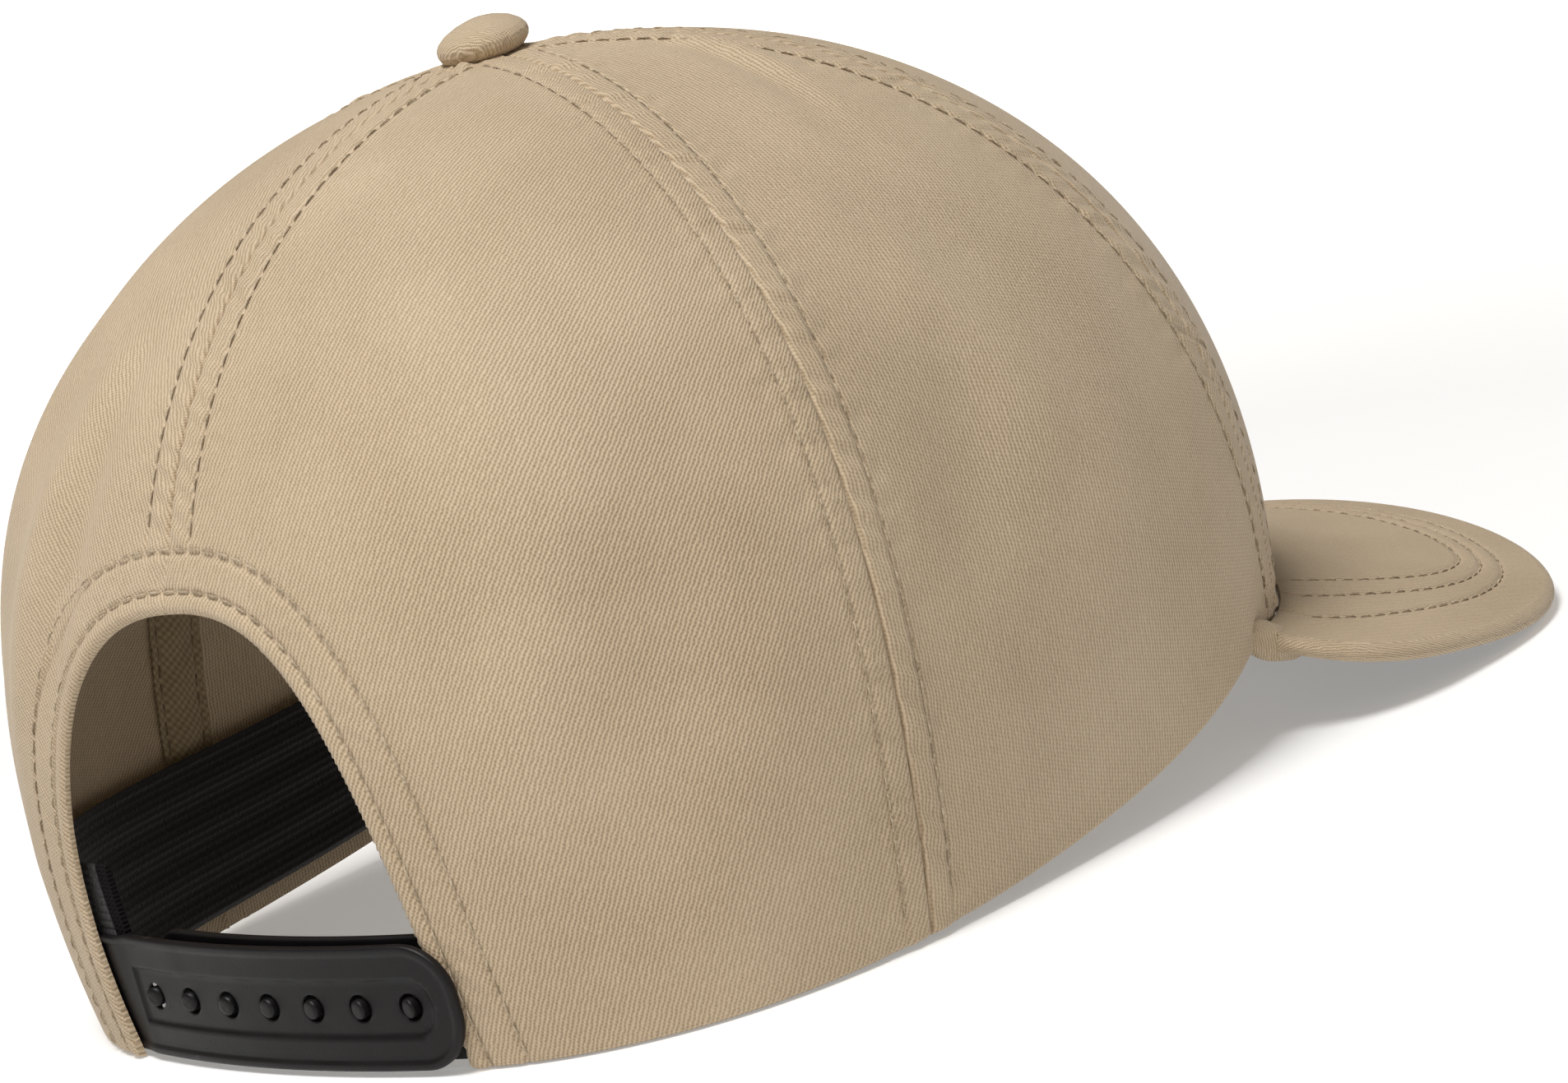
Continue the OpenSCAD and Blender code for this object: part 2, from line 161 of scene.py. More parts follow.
def lean_at(a, z):
    """How far the back of the crown leans to the wearer's left, at angle a and height z."""
    share = z / CROWN_H
    return np.maximum(0, -cosd(a)) ** 2 * SEAM_LEAN * 4 * share * (1 - share)


def crown_point(a, t):
    """Point of the crown's outer face at angle a about the button axis; t runs from hem to top."""
    a, t = np.broadcast_arrays(np.asarray(a, float), np.asarray(t, float))
    r = oval_r(a)
    z0 = edge_z(BUTTON_X + r * cosd(a), r * sind(a))
    s = 1 - t
    b0 = t**3
    b1 = 3 * s * t * t
    b2 = 3 * s * s * t
    b3 = s**3
    top_reach = 0.608 - 0.034 * cosd(a) - 0.009 * cosd(2 * a)
    top_rise = 0.01 * cosd(a)
    side_height = 0.652 - 0.019 * cosd(a) + 0.009 * cosd(2 * a)
    rho = r * (b1 * top_reach + b2 * (1 + SIDE_BULGE) + b3)
    z = CROWN_H * (b0 + b1 * (1 + top_rise)) + b2 * (z0 + side_height * (CROWN_H - z0)) + b3 * z0
    return np.stack([BUTTON_X + rho * cosd(a), rho * sind(a) + lean_at(a, z), z], -1)


def crown_normal(a, t):
    """Outward unit normal of the crown."""
    step = 0.01
    t1 = np.minimum(t, 1 - 2 * step)
    across = crown_point(a + 0.5, t1) - crown_point(a - 0.5, t1)
    up = crown_point(a, t1 + step) - crown_point(a, np.maximum(0, t1 - step))
    n = np.cross(across, up)
    return n / np.linalg.norm(n, axis=-1, keepdims=True)


def axis_gap(p):
    """Distance of crown points from the button's axis."""
    return np.hypot(p[..., 0] - BUTTON_X, p[..., 1])


def bow(t):
    return SEAM_BOW * 4 * t * (1 - t)


# name: (angle at the hem, share of the bow) for each seam
SEAMS = {
    "front_right": (-FRONT_SEAM, -1),
    "front_left": (FRONT_SEAM, 1),
    "side_right": (-SIDE_SEAM, 1),
    "side_left": (SIDE_SEAM, -1),
    "back": (180.0, 0),
}


def seam_angle(name, t):
    a, share = SEAMS[name]
    return a + share * bow(t)


def beside_seam(name, t, off):
    """Angle of a line off millimetres beside a seam."""
    a = seam_angle(name, t)
    return a + np.degrees(off / axis_gap(crown_point(a, t)))


def arch_find(y, z, side):
    """[angle, t] of the points of the crown's back at sideways distance y and height z."""
    a = 180 - np.degrees(np.arcsin(np.clip(y / 100, -1, 1)))
    t = z / CROWN_H * 0.5
    for _ in range(40):
        p = crown_point(a, t)
        a = np.minimum(180, a + (p[..., 1] - lean_at(a, p[..., 2]) - y) * 0.5)
        t = np.maximum(0, t + (z - p[..., 2]) / CROWN_H * 0.5)
    return side * a, t


def arch_at(k, side, grow=0.0):
    """[angle, t] along the arch's edge; k runs from the hem to the top of the arch."""
    k = np.asarray(k, float)
    y = (ARCH_HALF_W + grow) * np.abs(cosd(90 * k)) ** (2 / ARCH_POWER)
    z = (ARCH_H + grow) * np.abs(sind(90 * k)) ** (2 / ARCH_POWER)
    return arch_find(y, z, side)


# ------------ mesh helpers


def new_object(name, data):
    ob = bpy.data.objects.new(name, data)
    bpy.context.scene.collection.objects.link(ob)
    return ob


def new_mesh(name, verts, faces, uv=None, sharp=None):
    """Object from millimetre points and faces; uv is one (u, v) per point, in millimetres."""
    me = bpy.data.meshes.new(name)
    me.from_pydata((np.asarray(verts, float) * MM).tolist(), [], [list(map(int, f)) for f in faces])
    if uv is not None:
        layer = me.uv_layers.new(name="cloth_mm")
        corner = np.zeros(len(me.loops), int)
        me.loops.foreach_get("vertex_index", corner)
        layer.data.foreach_set("uv", np.asarray(uv, float)[corner].ravel())
    me.shade_smooth()
    if sharp is not None:
        me.set_sharp_from_angle(angle=math.radians(sharp))
    return new_object(name, me)


def grid_quads(rows, cols, first=0, flip=False):
    i, j = np.meshgrid(np.arange(rows - 1), np.arange(cols - 1), indexing="ij")
    q = np.stack([i * cols + j, i * cols + j + 1, (i + 1) * cols + j + 1, (i + 1) * cols + j], -1)
    q = q.reshape(-1, 4) + first
    return q[:, ::-1] if flip else q


def shell(name, outer, inner, uv):
    """Closed sheet between two grids of points with the same rows and columns."""
    rows, cols = outer.shape[:2]
    n = rows * cols
    loop = list(range(cols - 1))
    loop += [i * cols + cols - 1 for i in range(rows - 1)]
    loop += [(rows - 1) * cols + j for j in range(cols - 1, 0, -1)]
    loop += [i * cols for i in range(rows - 1, 0, -1)]
    rim = [[loop[k], n + loop[k], n + loop[(k + 1) % len(loop)], loop[(k + 1) % len(loop)]]
           for k in range(len(loop))]
    faces = list(grid_quads(rows, cols)) + list(grid_quads(rows, cols, n, flip=True)) + rim
    verts = np.concatenate([outer.reshape(-1, 3), inner.reshape(-1, 3)])
    flat_uv = uv.reshape(-1, 2)
    return new_mesh(name, verts, faces, np.concatenate([flat_uv, flat_uv]), sharp=50)


def capped_tube(rings, turns, first=0):
    """Faces between closed rings of points, with a cap on the first ring and the last."""
    faces = []
    for i in range(rings - 1):
        for j in range(turns):
            a = first + i * turns + j
            b = first + i * turns + (j + 1) % turns
            faces.append([a, b, b + turns, a + turns])
    last = first + (rings - 1) * turns
    return faces + [[first + j for j in range(turns - 1, -1, -1)], [last + j for j in range(turns)]]


def along(path):
    """Distance run along a polyline of points."""
    steps = np.linalg.norm(np.diff(path, axis=0), axis=1)
    return np.concatenate([[0], np.cumsum(steps)])


def resample(path, normals, at):
    """Points and normals of a polyline at the given distances along it."""
    run = along(path)
    p, n = (np.stack([np.interp(at, run, row[:, k]) for k in range(3)], -1) for row in (path, normals))
    return p, n / np.linalg.norm(n, axis=1, keepdims=True)


STITCH_L = 2.4
STITCH_GAP = 0.75
STITCH_W = 0.33
STITCH_H = 0.3


def stitch_row(path, normals, phase):
    """Vertices and faces of the stitches along one sewn row."""
    count = int((along(path)[-1] - phase) // (STITCH_L + STITCH_GAP))
    starts = phase + np.arange(count) * (STITCH_L + STITCH_GAP)
    rings = np.array([0.0, 0.08, 0.3, 0.7, 0.92, 1.0])
    swell = [0.25, 0.75, 1.0, 1.0, 0.75, 0.25]
    dive = [-0.3, -0.04, 0.1, 0.1, -0.04, -0.3]
    sides = 6
    verts, faces = [], []
    for start in starts:
        p, n = resample(path, normals, start + rings * STITCH_L)
        tangent = np.gradient(p, axis=0)
        tangent /= np.linalg.norm(tangent, axis=1, keepdims=True)
        across = np.cross(n, tangent)
        first = len(verts)
        for k in range(len(rings)):
            for j in range(sides):
                turn = 2 * math.pi * j / sides
                out = across[k] * math.cos(turn) * STITCH_W / 2 + n[k] * math.sin(turn) * STITCH_H / 2
                verts.append(p[k] + n[k] * dive[k] + out * swell[k])
        faces += capped_tube(len(rings), sides, first)
    return verts, faces


def stitches(name, rows):
    """One object holding the stitches of several rows, each row a (path, normals) pair."""
    verts, faces = [], []
    for k, (path, normals) in enumerate(rows):
        v, f = stitch_row(path, normals, 0.4 + 0.9 * (k % 3))
        faces += [[i + len(verts) for i in face] for face in f]
        verts += v
    return new_mesh(name, verts, faces)


# ------------ how the sewn cloth lies

STITCH_E = 4.7
SEAM_BAND = 5.6
rng = np.random.default_rng(11)
WAVES = {name: (rng.uniform(3.2, 9.0, 7), rng.uniform(0, 6.28, 7), rng.uniform(0.3, 1.0, 7))
         for name in [*SEAMS, "arch"]}


def bump(x, centre, width):
    return np.exp(-(((x - centre) / width) ** 2))


def ripple(name, run):
    """Uneven wave along a seam, from -1 to 1, of wavelengths from 3 to 9 mm."""
    lengths, phases, sizes = WAVES[name]
    total = sum(s * np.sin(2 * np.pi * run / w + p) for w, p, s in zip(lengths, phases, sizes))
    return total / sizes.sum() * 1.6


def sewn_edge(name, e, run, side):
    """Height of the cloth e millimetres from a seam, on its side 1 or -1, and run along it."""
    ridge = 0.42 * np.exp(-((e / SEAM_BAND) ** 6))
    seam = -0.6 * bump(e, 0, 0.35)
    row = -0.36 * bump(e, STITCH_E, 0.5)
    pucker = 0.42 * ripple(name, run + 0.6 * e * side) * np.sin(np.pi * np.clip(e / STITCH_E, 0, 1))
    beyond = 0.22 * ripple(name, run * 0.8 + 9) * bump(e, STITCH_E + 2.2, 1.8)
    return ridge + seam + row + pucker + beyond


# Soft folds: angle and t at each end, half-width in degrees, height in millimetres
FOLDS = [
    (-47, 0.86, -62, 0.66, 3.2, 1.5),
    (-52, 0.84, -70, 0.60, 4.0, -1.1),
    (-88, 0.50, -68, 0.22, 7.0, 1.3),
    (-100, 0.18, -74, 0.40, 6.0, -1.1),
    (-128, 0.30, -150, 0.55, 7.0, 1.1),
    (-136, 0.12, -122, 0.36, 6.0, -1.2),
    (-150, 0.05, -138, 0.30, 5.0, 1.1),
    (150, 0.12, 160, 0.50, 3.2, 1.9),
    (157, 0.10, 167, 0.52, 2.6, -1.8),
    (140, 0.20, 150, 0.62, 4.5, 1.5),
    (60, 0.75, 92, 0.45, 7.0, 1.2),
    (98, 0.20, 72, 0.40, 7.0, -1.2),
    (-18, 0.66, 20, 0.60, 8.0, 0.8),
]


def folds(a, t):
    """Soft dents and ridges of the unsupported cloth."""
    total = 0.0
    for a0, t0, a1, t1, width, height in FOLDS:
        da, dt = a1 - a0, (t1 - t0) * 90
        k = np.clip(((a - a0) * da + (t - t0) * 90 * dt) / (da * da + dt * dt), 0, 1)
        far = np.hypot(a - a0 - k * da, (t - t0) * 90 - k * dt)
        fade = np.sin(np.pi * np.clip(k, 0.12, 0.88))
        total = total + height * fade * np.exp(-((far / width) ** 2))
    return total


def nearest(points, line):
    """Distance of each point from a finely divided line, and the index of the nearest line point."""
    flat = points.reshape(-1, points.shape[-1])
    near, best = [], []
    for lo in range(0, len(flat), 4000):
        gap = np.linalg.norm(flat[lo:lo + 4000, None] - line[None], axis=2)
        near.append(gap.min(1))
        best.append(gap.argmin(1))
    return np.concatenate(near).reshape(points.shape[:-1]), np.concatenate(best).reshape(points.shape[:-1])


ARCH_KS = np.concatenate([np.linspace(0, 1, 160), np.linspace(1, 0, 160)[1:]])
ARCH_SIDES = np.concatenate([np.full(160, -1.0), np.full(159, 1.0)])
ARCH_LINE = crown_point(*arch_at(ARCH_KS, ARCH_SIDES))
ARCH_RUN = along(ARCH_LINE)
# Rows of stitches round the arch: distance from its edge
HEM_ROWS = (3.1, 8.8)
# Length of a panel from hem to top, near enough for the puckers' wavelength
PANEL_RUN = 170


def cloth_height(a, t, seams, arch=False):
    """How far the sewn cloth stands out from the crown surface, in millimetres."""
    p = crown_point(a, t)
    rho = axis_gap(p)
    rise = np.broadcast_to(t, rho.shape) * PANEL_RUN
    up = 1.0
    near_arch = None
    if arch:
        near_arch, best = nearest(p, ARCH_LINE)
        run = ARCH_RUN[best]
        up = 1 - 0.55 * np.exp(-((near_arch / 9.5) ** 8))
    total = folds(a, t) * np.clip(rho / 30, 0, 1)
    for name in seams:
        gap = a - seam_angle(name, t)
        gap = (gap + 180) % 360 - 180
        e = np.abs(np.radians(gap)) * rho
        total = total * (1 - 0.8 * bump(e, 0, 7)) + up * sewn_edge(name, e, rise, np.sign(gap))
    if arch:
        total = total * (1 - 0.7 * bump(near_arch, 0, 10))
        total = total + 0.35 * np.exp(-((near_arch / 9.3) ** 8))
        total = total + 0.25 * bump(near_arch, 1.4, 1.0)
        for row in HEM_ROWS:
            total = total - 0.36 * bump(near_arch, row, 0.5)
        mid = (HEM_ROWS[0] + HEM_ROWS[1]) / 2
        total = total + 0.10 * ripple("arch", run + near_arch) * bump(near_arch, mid, 2.2)
    return total, near_arch


def edge_turn(e, radius, depth):
    """How deep a folded edge has turned under at distance e from it."""
    k = 1 - np.clip(e / radius, 0, 1)
    return depth * (1 - np.sqrt(1 - k * k))


def hem_distance(t):
    """Rough height above the crown's base edge, in millimetres."""
    return t * 3 * 0.65 * CROWN_H


def cloth_uv(a, t, middle):
    """Place on the flat cloth in millimetres: across the panel and up it."""
    steps = np.linspace(0, 1, 200)
    up = along(crown_point(middle, steps))
    return np.stack([np.radians(a - middle) * axis_gap(crown_point(a, t)), np.interp(t, steps, up)], -1)


def panel(name, a, t, seams, middle, arch=False):
    """One sewn panel over a grid of angles and t."""
    height, near_arch = cloth_height(a, t, seams, arch)
    n = crown_normal(a, t)
    base = crown_point(a, t)
    turn = edge_turn(hem_distance(t), 0.8, TWILL_T * 0.8)
    thick = np.full(a.shape, TWILL_T)
    if arch:
        turn = np.maximum(turn, edge_turn(near_arch, 1.1, 1.0))
        thick = thick + 0.5 * np.exp(-((near_arch / 2.5) ** 2))
    outer = base + n * (height - turn)[..., None]
    inner = base + n * (np.minimum(height, 0.3) - thick)[..., None]
    keep_level = np.clip(hem_distance(t) / 2, 0, 1)[..., None]
    for grid in (outer, inner):
        grid[..., 2:] = grid[..., 2:] * keep_level + base[..., 2:] * (1 - keep_level)
    return shell(name, outer, inner, cloth_uv(a, t, middle))


# Share of the full count of rows and columns
FINE = 1.0


def panel_between(name, seam0, seam1, cols, middle):
    """A panel between two seams; its columns lie closer together near them."""
    c = np.linspace(0, 1, int(cols * FINE))
    c = c - 0.1 * np.sin(2 * np.pi * c)
    t = np.concatenate([[0, 0.0006, 0.0012, 0.002, 0.0032], np.linspace(0.005, TOP_T, int(190 * FINE))])
    start = seam_angle(seam0, t)
    end = seam_angle(seam1, t)
    a = start[:, None] + (end - start)[:, None] * c[None]
    return panel(name, a, np.broadcast_to(t[:, None], a.shape), [seam0, seam1], middle)


FAN_TURN = 18 / 26
BACK_MIDDLE = 146


def fan_panel(name, side, seam):
    """A back panel: rows leave the arch's edge and fan out to the side seam and then the top."""
    turn = FAN_TURN
    k = np.linspace(0, 1, int(240 * FINE))
    k = np.concatenate([k[:1], [0.0012, 0.0025], k[1:]])
    k = np.where(k > turn, turn + (k - turn) ** 0.9 * (1 - turn) ** 0.1, k)
    edge_a, edge_t = arch_at(k, side)
    t_out = TOP_T * np.minimum(1, k / turn)
    start = seam_angle(seam, t_out)
    share = np.maximum(0, (k - turn) / (1 - turn))
    a_out = start + (side * 180 - start) * share
    v = np.linspace(0, 1, int(130 * FINE))
    v = v * (0.35 + 0.65 * v)
    v = v - 0.035 * np.sin(2 * np.pi * v)
    if side > 0:
        v = v[::-1]
    a = edge_a[:, None] * (1 - v) + a_out[:, None] * v
    t = edge_t[:, None] * (1 - v) + t_out[:, None] * v
    return panel(name, a, t, [seam, "back"], side * BACK_MIDDLE, arch=True)


# ------------ material nodes


class Nodes:
    """Short way to build a node material."""

    def __init__(self, name):
        self.mat = bpy.data.materials.new(name)
        self.mat.use_nodes = True
        self.tree = self.mat.node_tree
        self.bsdf = self.tree.nodes["Principled BSDF"]

    def add(self, kind, inputs=None, **settings):
        """New node with its settings, and with inputs by socket name or number."""
        node = self.tree.nodes.new("ShaderNode" + kind)
        for key, value in settings.items():
            setattr(node, key, value)
        for key, value in (inputs or {}).items():
            self.feed(node.inputs[key], value)
        return node

    def feed(self, socket, value):
        if isinstance(value, bpy.types.NodeSocket):
            self.tree.links.new(value, socket)
        else:
            socket.default_value = value

    def math(self, op, *values):
        return self.add("Math", dict(enumerate(values)), operation=op).outputs[0]

    def weigh(self, *pairs):
        """Sum of values times their weights."""
        terms = [self.math("MULTIPLY", value, weight) for value, weight in pairs]
        total = terms[0]
        for term in terms[1:]:
            total = self.math("ADD", total, term)
        return total

    def sine(self, x, rate):
        return self.math("SINE", self.math("MULTIPLY", x, rate))

    def wave(self, turns):
        """Wave from 0 to 1 and back, once a turn."""
        return self.math("MULTIPLY_ADD", self.sine(turns, 2 * math.pi), 0.5, 0.5)

    def split(self, vector):
        return self.add("SeparateXYZ", {0: vector}).outputs

    def noise(self, vector, scale, detail=3.0, rough=0.5):
        inputs = {"Vector": vector, "Scale": scale, "Detail": detail, "Roughness": rough}
        return self.add("TexNoise", inputs).outputs["Fac"]

    def ramp(self, fac, stops):
        node = self.add("ValToRGB", {"Fac": fac})
        elements = node.color_ramp.elements
        while len(elements) < len(stops):
            elements.new(0.5)
        for element, (at, colour) in zip(elements, stops):
            element.position = at
            element.color = (*srgb(colour), 1)
        return node.outputs["Color"]

    def mix(self, fac, a, b):
        """Mix of two colours; a colour mix node has its sockets at 6 and 7, and its result at 2."""
        return self.add("Mix", {0: fac, 6: a, 7: b}, data_type="RGBA").outputs[2]

    def bump(self, height, strength, distance):
        return self.add("Bump", {"Height": height, "Strength": strength, "Distance": distance}).outputs[0]

    def metres(self):
        """Position on the resting object; the piece's own coordinates are metres in the shared frame."""
        return self.add("TexCoord").outputs["Object"]

    def cloth_mm(self):
        """Place on the flat cloth, across and up, in millimetres."""
        return self.split(self.add("UVMap", uv_map="cloth_mm").outputs[0])[:2]

    def finish(self, colour, roughness, normal=None, **shader):
        self.feed(self.bsdf.inputs["Base Color"], colour)
        self.feed(self.bsdf.inputs["Roughness"], roughness)
        if normal is not None:
            self.feed(self.bsdf.inputs["Normal"], normal)
        for key, value in shader.items():
            self.feed(self.bsdf.inputs[key.replace("_", " ")], value)
        return self.mat


def srgb(colour):
    """Linear colour from 0-255 screen values."""
    out = []
    for c in colour:
        c = c / 255
        out.append(c / 12.92 if c <= 0.04045 else ((c + 0.055) / 1.055) ** 2.4)
    return tuple(out)


TWILL_LIGHT = (203, 183, 155)
TWILL_MID = (182, 161, 131)
TWILL_DARK = (140, 118, 89)


def twill(name, slant, across=0.64):
    """Cotton twill: slanting ribs a little under a millimetre apart, with painted shade in the valleys
    between them, yarn flecks and soft fading.
    """
    m = Nodes(name)
    u, v = m.cloth_mm()
    place = m.metres()
    lean = 0.436 * slant
    wobble = m.math("SUBTRACT", m.noise(place, 900, 2), 0.5)
    run = m.math("DIVIDE", m.weigh((u, 0.90), (v, lean), (wobble, 0.55)), across)
    up = m.math("DIVIDE", m.weigh((v, 0.9), (u, -lean)), across * 0.85)
    pick = m.wave(m.weigh((up, 1.0), (m.math("FLOOR", run), 0.37)))
    fleck = m.noise(place, 1500, 3, 0.6)
    fade = m.noise(place, 38, 4, 0.55)
    height = m.weigh((m.wave(run), 0.72), (pick, 0.28), (fleck, 0.35))
    # The tone follows the ribs' height, so the valleys between ribs are painted darker as shade; the flecks
    # and the soft fading are the cloth's own.
    tone = m.weigh((height, 0.52), (fade, 0.30))
    colour = m.ramp(tone, [(0.18, TWILL_DARK), (0.48, TWILL_MID), (0.78, TWILL_LIGHT)])
    normal = m.bump(height, 0.65, 0.00018)
    return m.finish(colour, 0.62, normal, Sheen_Weight=0.12, Sheen_Roughness=0.6, Specular_IOR_Level=0.45)


def thread(name, dark, light):
    """Sewing thread: fine slanting plies."""
    m = Nodes(name)
    place = m.metres()
    fleck = m.noise(place, 2400, 3, 0.6)
    patch = m.noise(place, 260, 2)
    colour = m.ramp(m.weigh((fleck, 0.6), (patch, 0.4)), [(0.35, dark), (0.65, light)])
    return m.finish(colour, 0.75, m.bump(fleck, 0.6, 0.00012), Sheen_Weight=0.15, Specular_IOR_Level=0.3)


def woven(name, dark, light, scale):
    """Plain woven cloth from two crossed waves."""
    m = Nodes(name)
    place = m.metres()
    x, y, z = m.split(place)
    cols = m.sine(m.math("ARCTAN2", y, x), 0.085 * scale)
    rows = m.sine(m.weigh((z, 1.0), (x, 0.3)), scale)
    weave = m.math("MULTIPLY_ADD", m.math("MULTIPLY", cols, rows), 0.5, 0.5)
    mixed = m.weigh((weave, 0.6), (m.noise(place, 1300, 3), 0.4))
    colour = m.ramp(mixed, [(0.25, dark), (0.75, light)])
    return m.finish(colour, 0.95, m.bump(mixed, 0.7, 0.0003), Sheen_Weight=0.15, Specular_IOR_Level=0.2)


def knit_mesh(name):
    """Black spacer mesh: rows of small holes, painted darker as the shade seen through them, between ribs
    that run along the band.
    """
    m = Nodes(name)
    u, v = m.cloth_mm()
    ribs = m.sine(v, 2 * math.pi / 1.5)
    dots = m.sine(u, 2 * math.pi / 1.9)
    # The holes are only painted: a darker colour for the shade seen through them, and a dent in the bump.
    hole = m.math("GREATER_THAN", m.math("MULTIPLY", ribs, dots), 0.42)
    fleck = m.noise(m.metres(), 1600, 3)
    rib = m.math("MULTIPLY_ADD", ribs, 0.5, 0.5)
    weave = m.weigh((rib, 0.5), (fleck, 0.5), (hole, -0.45))
    colour = m.ramp(weave, [(0.05, (12, 11, 13)), (0.5, (24, 22, 24)), (0.9, (42, 39, 41))])
    return m.finish(colour, 0.85, m.bump(weave, 0.9, 0.0004), Sheen_Weight=0.2, Specular_IOR_Level=0.25)


def knit_tape(name):
    """Black knit tape: fine V-shaped loops."""
    m = Nodes(name)
    u, v = m.cloth_mm()
    slant = m.weigh((v, 1.0), (m.math("ABSOLUTE", m.sine(u, 2.6)), 0.5))
    loops = m.wave(m.math("MULTIPLY", slant, 1 / 0.8))
    weave = m.weigh((loops, 0.6), (m.noise(m.metres(), 1700, 3), 0.4))
    colour = m.ramp(weave, [(0.2, (8, 7, 8)), (0.8, (27, 25, 26))])
    return m.finish(colour, 0.9, m.bump(weave, 0.8, 0.0003), Sheen_Weight=0.0, Specular_IOR_Level=0.1)


def strap_plastic(name):
    """Moulded black polyethylene: satin, with a fine grain, and a painted highlight that makes its convex
    edges lighter.
    """
    m = Nodes(name)
    place = m.metres()
    grain = m.noise(place, 2600, 2, 0.5)
    cloud = m.noise(place, 120, 3, 0.6)
    colour = m.ramp(cloud, [(0.3, (11, 9, 10)), (0.7, (17, 14, 15))])
    geometry = m.add("NewGeometry")
    # Painted highlight: convex edges, found by pointiness, are mixed towards a lighter grey.
    edge_highlight = m.math("MULTIPLY", m.math("SUBTRACT", geometry.outputs["Pointiness"], 0.52), 5.0)
    edge_highlight = m.math("MINIMUM", m.math("MAXIMUM", edge_highlight, 0.0), 0.5)
    colour = m.mix(edge_highlight, colour, (*srgb((56, 51, 52)), 1))
    rough = m.math("MULTIPLY_ADD", cloud, 0.22, 0.36)
    return m.finish(colour, rough, m.bump(grain, 0.35, 0.00008), Specular_IOR_Level=0.26)


def metal(name):
    """Stamped tin-plated steel with fine scratches."""
    m = Nodes(name)
    place = m.metres()
    stretch = m.add("Mapping", {"Vector": place, "Scale": (1, 14, 1)})
    scratch = m.noise(stretch.outputs[0], 700, 4, 0.6)
    colour = m.ramp(scratch, [(0.3, (150, 148, 143)), (0.7, (192, 189, 182))])
    rough = m.math("MULTIPLY_ADD", scratch, 0.3, 0.22)
    return m.finish(colour, rough, m.bump(scratch, 0.2, 0.00005), Metallic=1.0)


def board(name):
    """Grey-white moulded board with a pebbled face."""
    m = Nodes(name)
    grain = m.noise(m.metres(), 1100, 4, 0.6)
    colour = m.ramp(grain, [(0.3, (172, 170, 164)), (0.7, (205, 203, 197))])
    return m.finish(colour, 0.7, m.bump(grain, 0.5, 0.00015))


# ------------ pieces of the crown


def layer_points(a, t, depth):
    """Points at a depth inside the crown's outer face, in millimetres."""
    return crown_point(a, t) - crown_normal(a, t) * np.asarray(depth)[..., None]


def sew(ob, slot, material, *nodes):
    """Material of a piece that rides the cap, and the CAD nodes it replaces; slot is not used."""
    ob.data.materials.append(material)
    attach(ob, "cap")
    if nodes:
        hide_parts(*nodes)


def crown():
    """The five panels, each with the slant of its own twill."""
    between = {
        "front_panel": ("front_right", "front_left", 190, 0, -0.8),
        "side_panel_right": ("side_right", "front_right", 150, -76, -0.3),
        "side_panel_left": ("front_left", "side_left", 120, 76, 0.3),
    }
    for node, (seam0, seam1, cols, middle, slant) in between.items():
        ob = panel_between(node + "_cloth", seam0, seam1, cols, middle)
        sew(ob, "twill", twill("twill_" + node, slant), node)
    for name, side, slant in (("right", -1.0, -1.1), ("left", 1.0, 1.5)):
        node = "back_panel_" + name
        sew(fan_panel(node + "_cloth", side, "side_" + name), "twill", twill("twill_" + node, slant), node)


def seam_row(name, t, off, out):
    """A stitched row off millimetres beside a seam, out millimetres outside the crown's surface."""
    a = beside_seam(name, t, off)
    n = crown_normal(a, t)
    return crown_point(a, t) + n * out, n


def arch_row(distance):
    """A stitched row round the arch, at a distance outside its edge."""
    ks = np.linspace(0, 1, 260)
    right = arch_at(ks, -1.0, distance)
    left = arch_at(ks[::-1], 1.0, distance)
    line, normals = (np.concatenate([f(*right), f(*left)[1:]]) for f in (crown_point, crown_normal))
    return line + normals * 0.34, normals


def crown_stitches():
    # The cap thread's dark end is painted shade, as of stitches lying in their grooves, spread in random
    # patches; its flecks are the thread's own.
    cotton = thread("cap_thread", (122, 103, 77), (206, 190, 164))
    above_hem = float(arch_at(1, 1.0, HEM_ROWS[1] + 1.2)[1])
    rows = []
    for name in ("front_right", "front_left", "side_right", "side_left", "back"):
        t = np.linspace(above_hem if name == "back" else 0.012, 0.955, 400)
        rows += [seam_row(name, t, side * STITCH_E, 0.2) for side in (-1, 1)]
    sew(stitches("seam_stitches", rows), "tape_cloth", cotton)
    sew(stitches("arch_hem_stitches", [arch_row(row) for row in HEM_ROWS]), "tape_cloth", cotton)
    return cotton


TAPE_HALF_W = 5.5
TAPE_ROW = 4.0
TAPE_OUTER = 0.85
TAPE_INNER = 1.15


def tape(name, seam, t0, t1):
    """Twill tape covering a seam inside, padded up over the seam and stitched down."""
    t = np.linspace(t0, t1, 160)[:, None]
    c = np.linspace(-TAPE_HALF_W, TAPE_HALF_W, 25)[None]
    a = beside_seam(seam, t, c)
    t = np.broadcast_to(t, a.shape)
    run = t * PANEL_RUN
    swell = 0.35 * bump(c, 0, 2.6) + 0.12 * np.sin(run * 0.9 + c * 0.4)
    dip = 0.3 * (bump(c, TAPE_ROW, 0.5) + bump(c, -TAPE_ROW, 0.5))
    outer = layer_points(a, t, TAPE_OUTER)
    inner = layer_points(a, t, TAPE_INNER + swell - dip)
    return shell(name + "_cloth", inner, outer, np.stack([np.broadcast_to(c, a.shape), run], -1))


def tapes(material):
    top = 0.93
    seams = {f"{seam}_seam_tape_{side}": (f"{seam}_{side}", 0.03)
             for seam in ("front", "side") for side in ("right", "left")}
    seams["back_seam_tape"] = ("back", 0.305)
    rows = []
    for node, (seam, t0) in seams.items():
        sew(tape(node, seam, t0, top), "tape_cloth", material, node)
        for c in (-TAPE_ROW, TAPE_ROW):
            line, n = seam_row(seam, np.linspace(t0 + 0.01, top - 0.01, 300), c, -1.0)
            rows.append((line, -n))
    pale = thread("tape_thread", (112, 96, 72), (160, 142, 112))
    sew(stitches("tape_stitches", rows), "tape_cloth", pale)


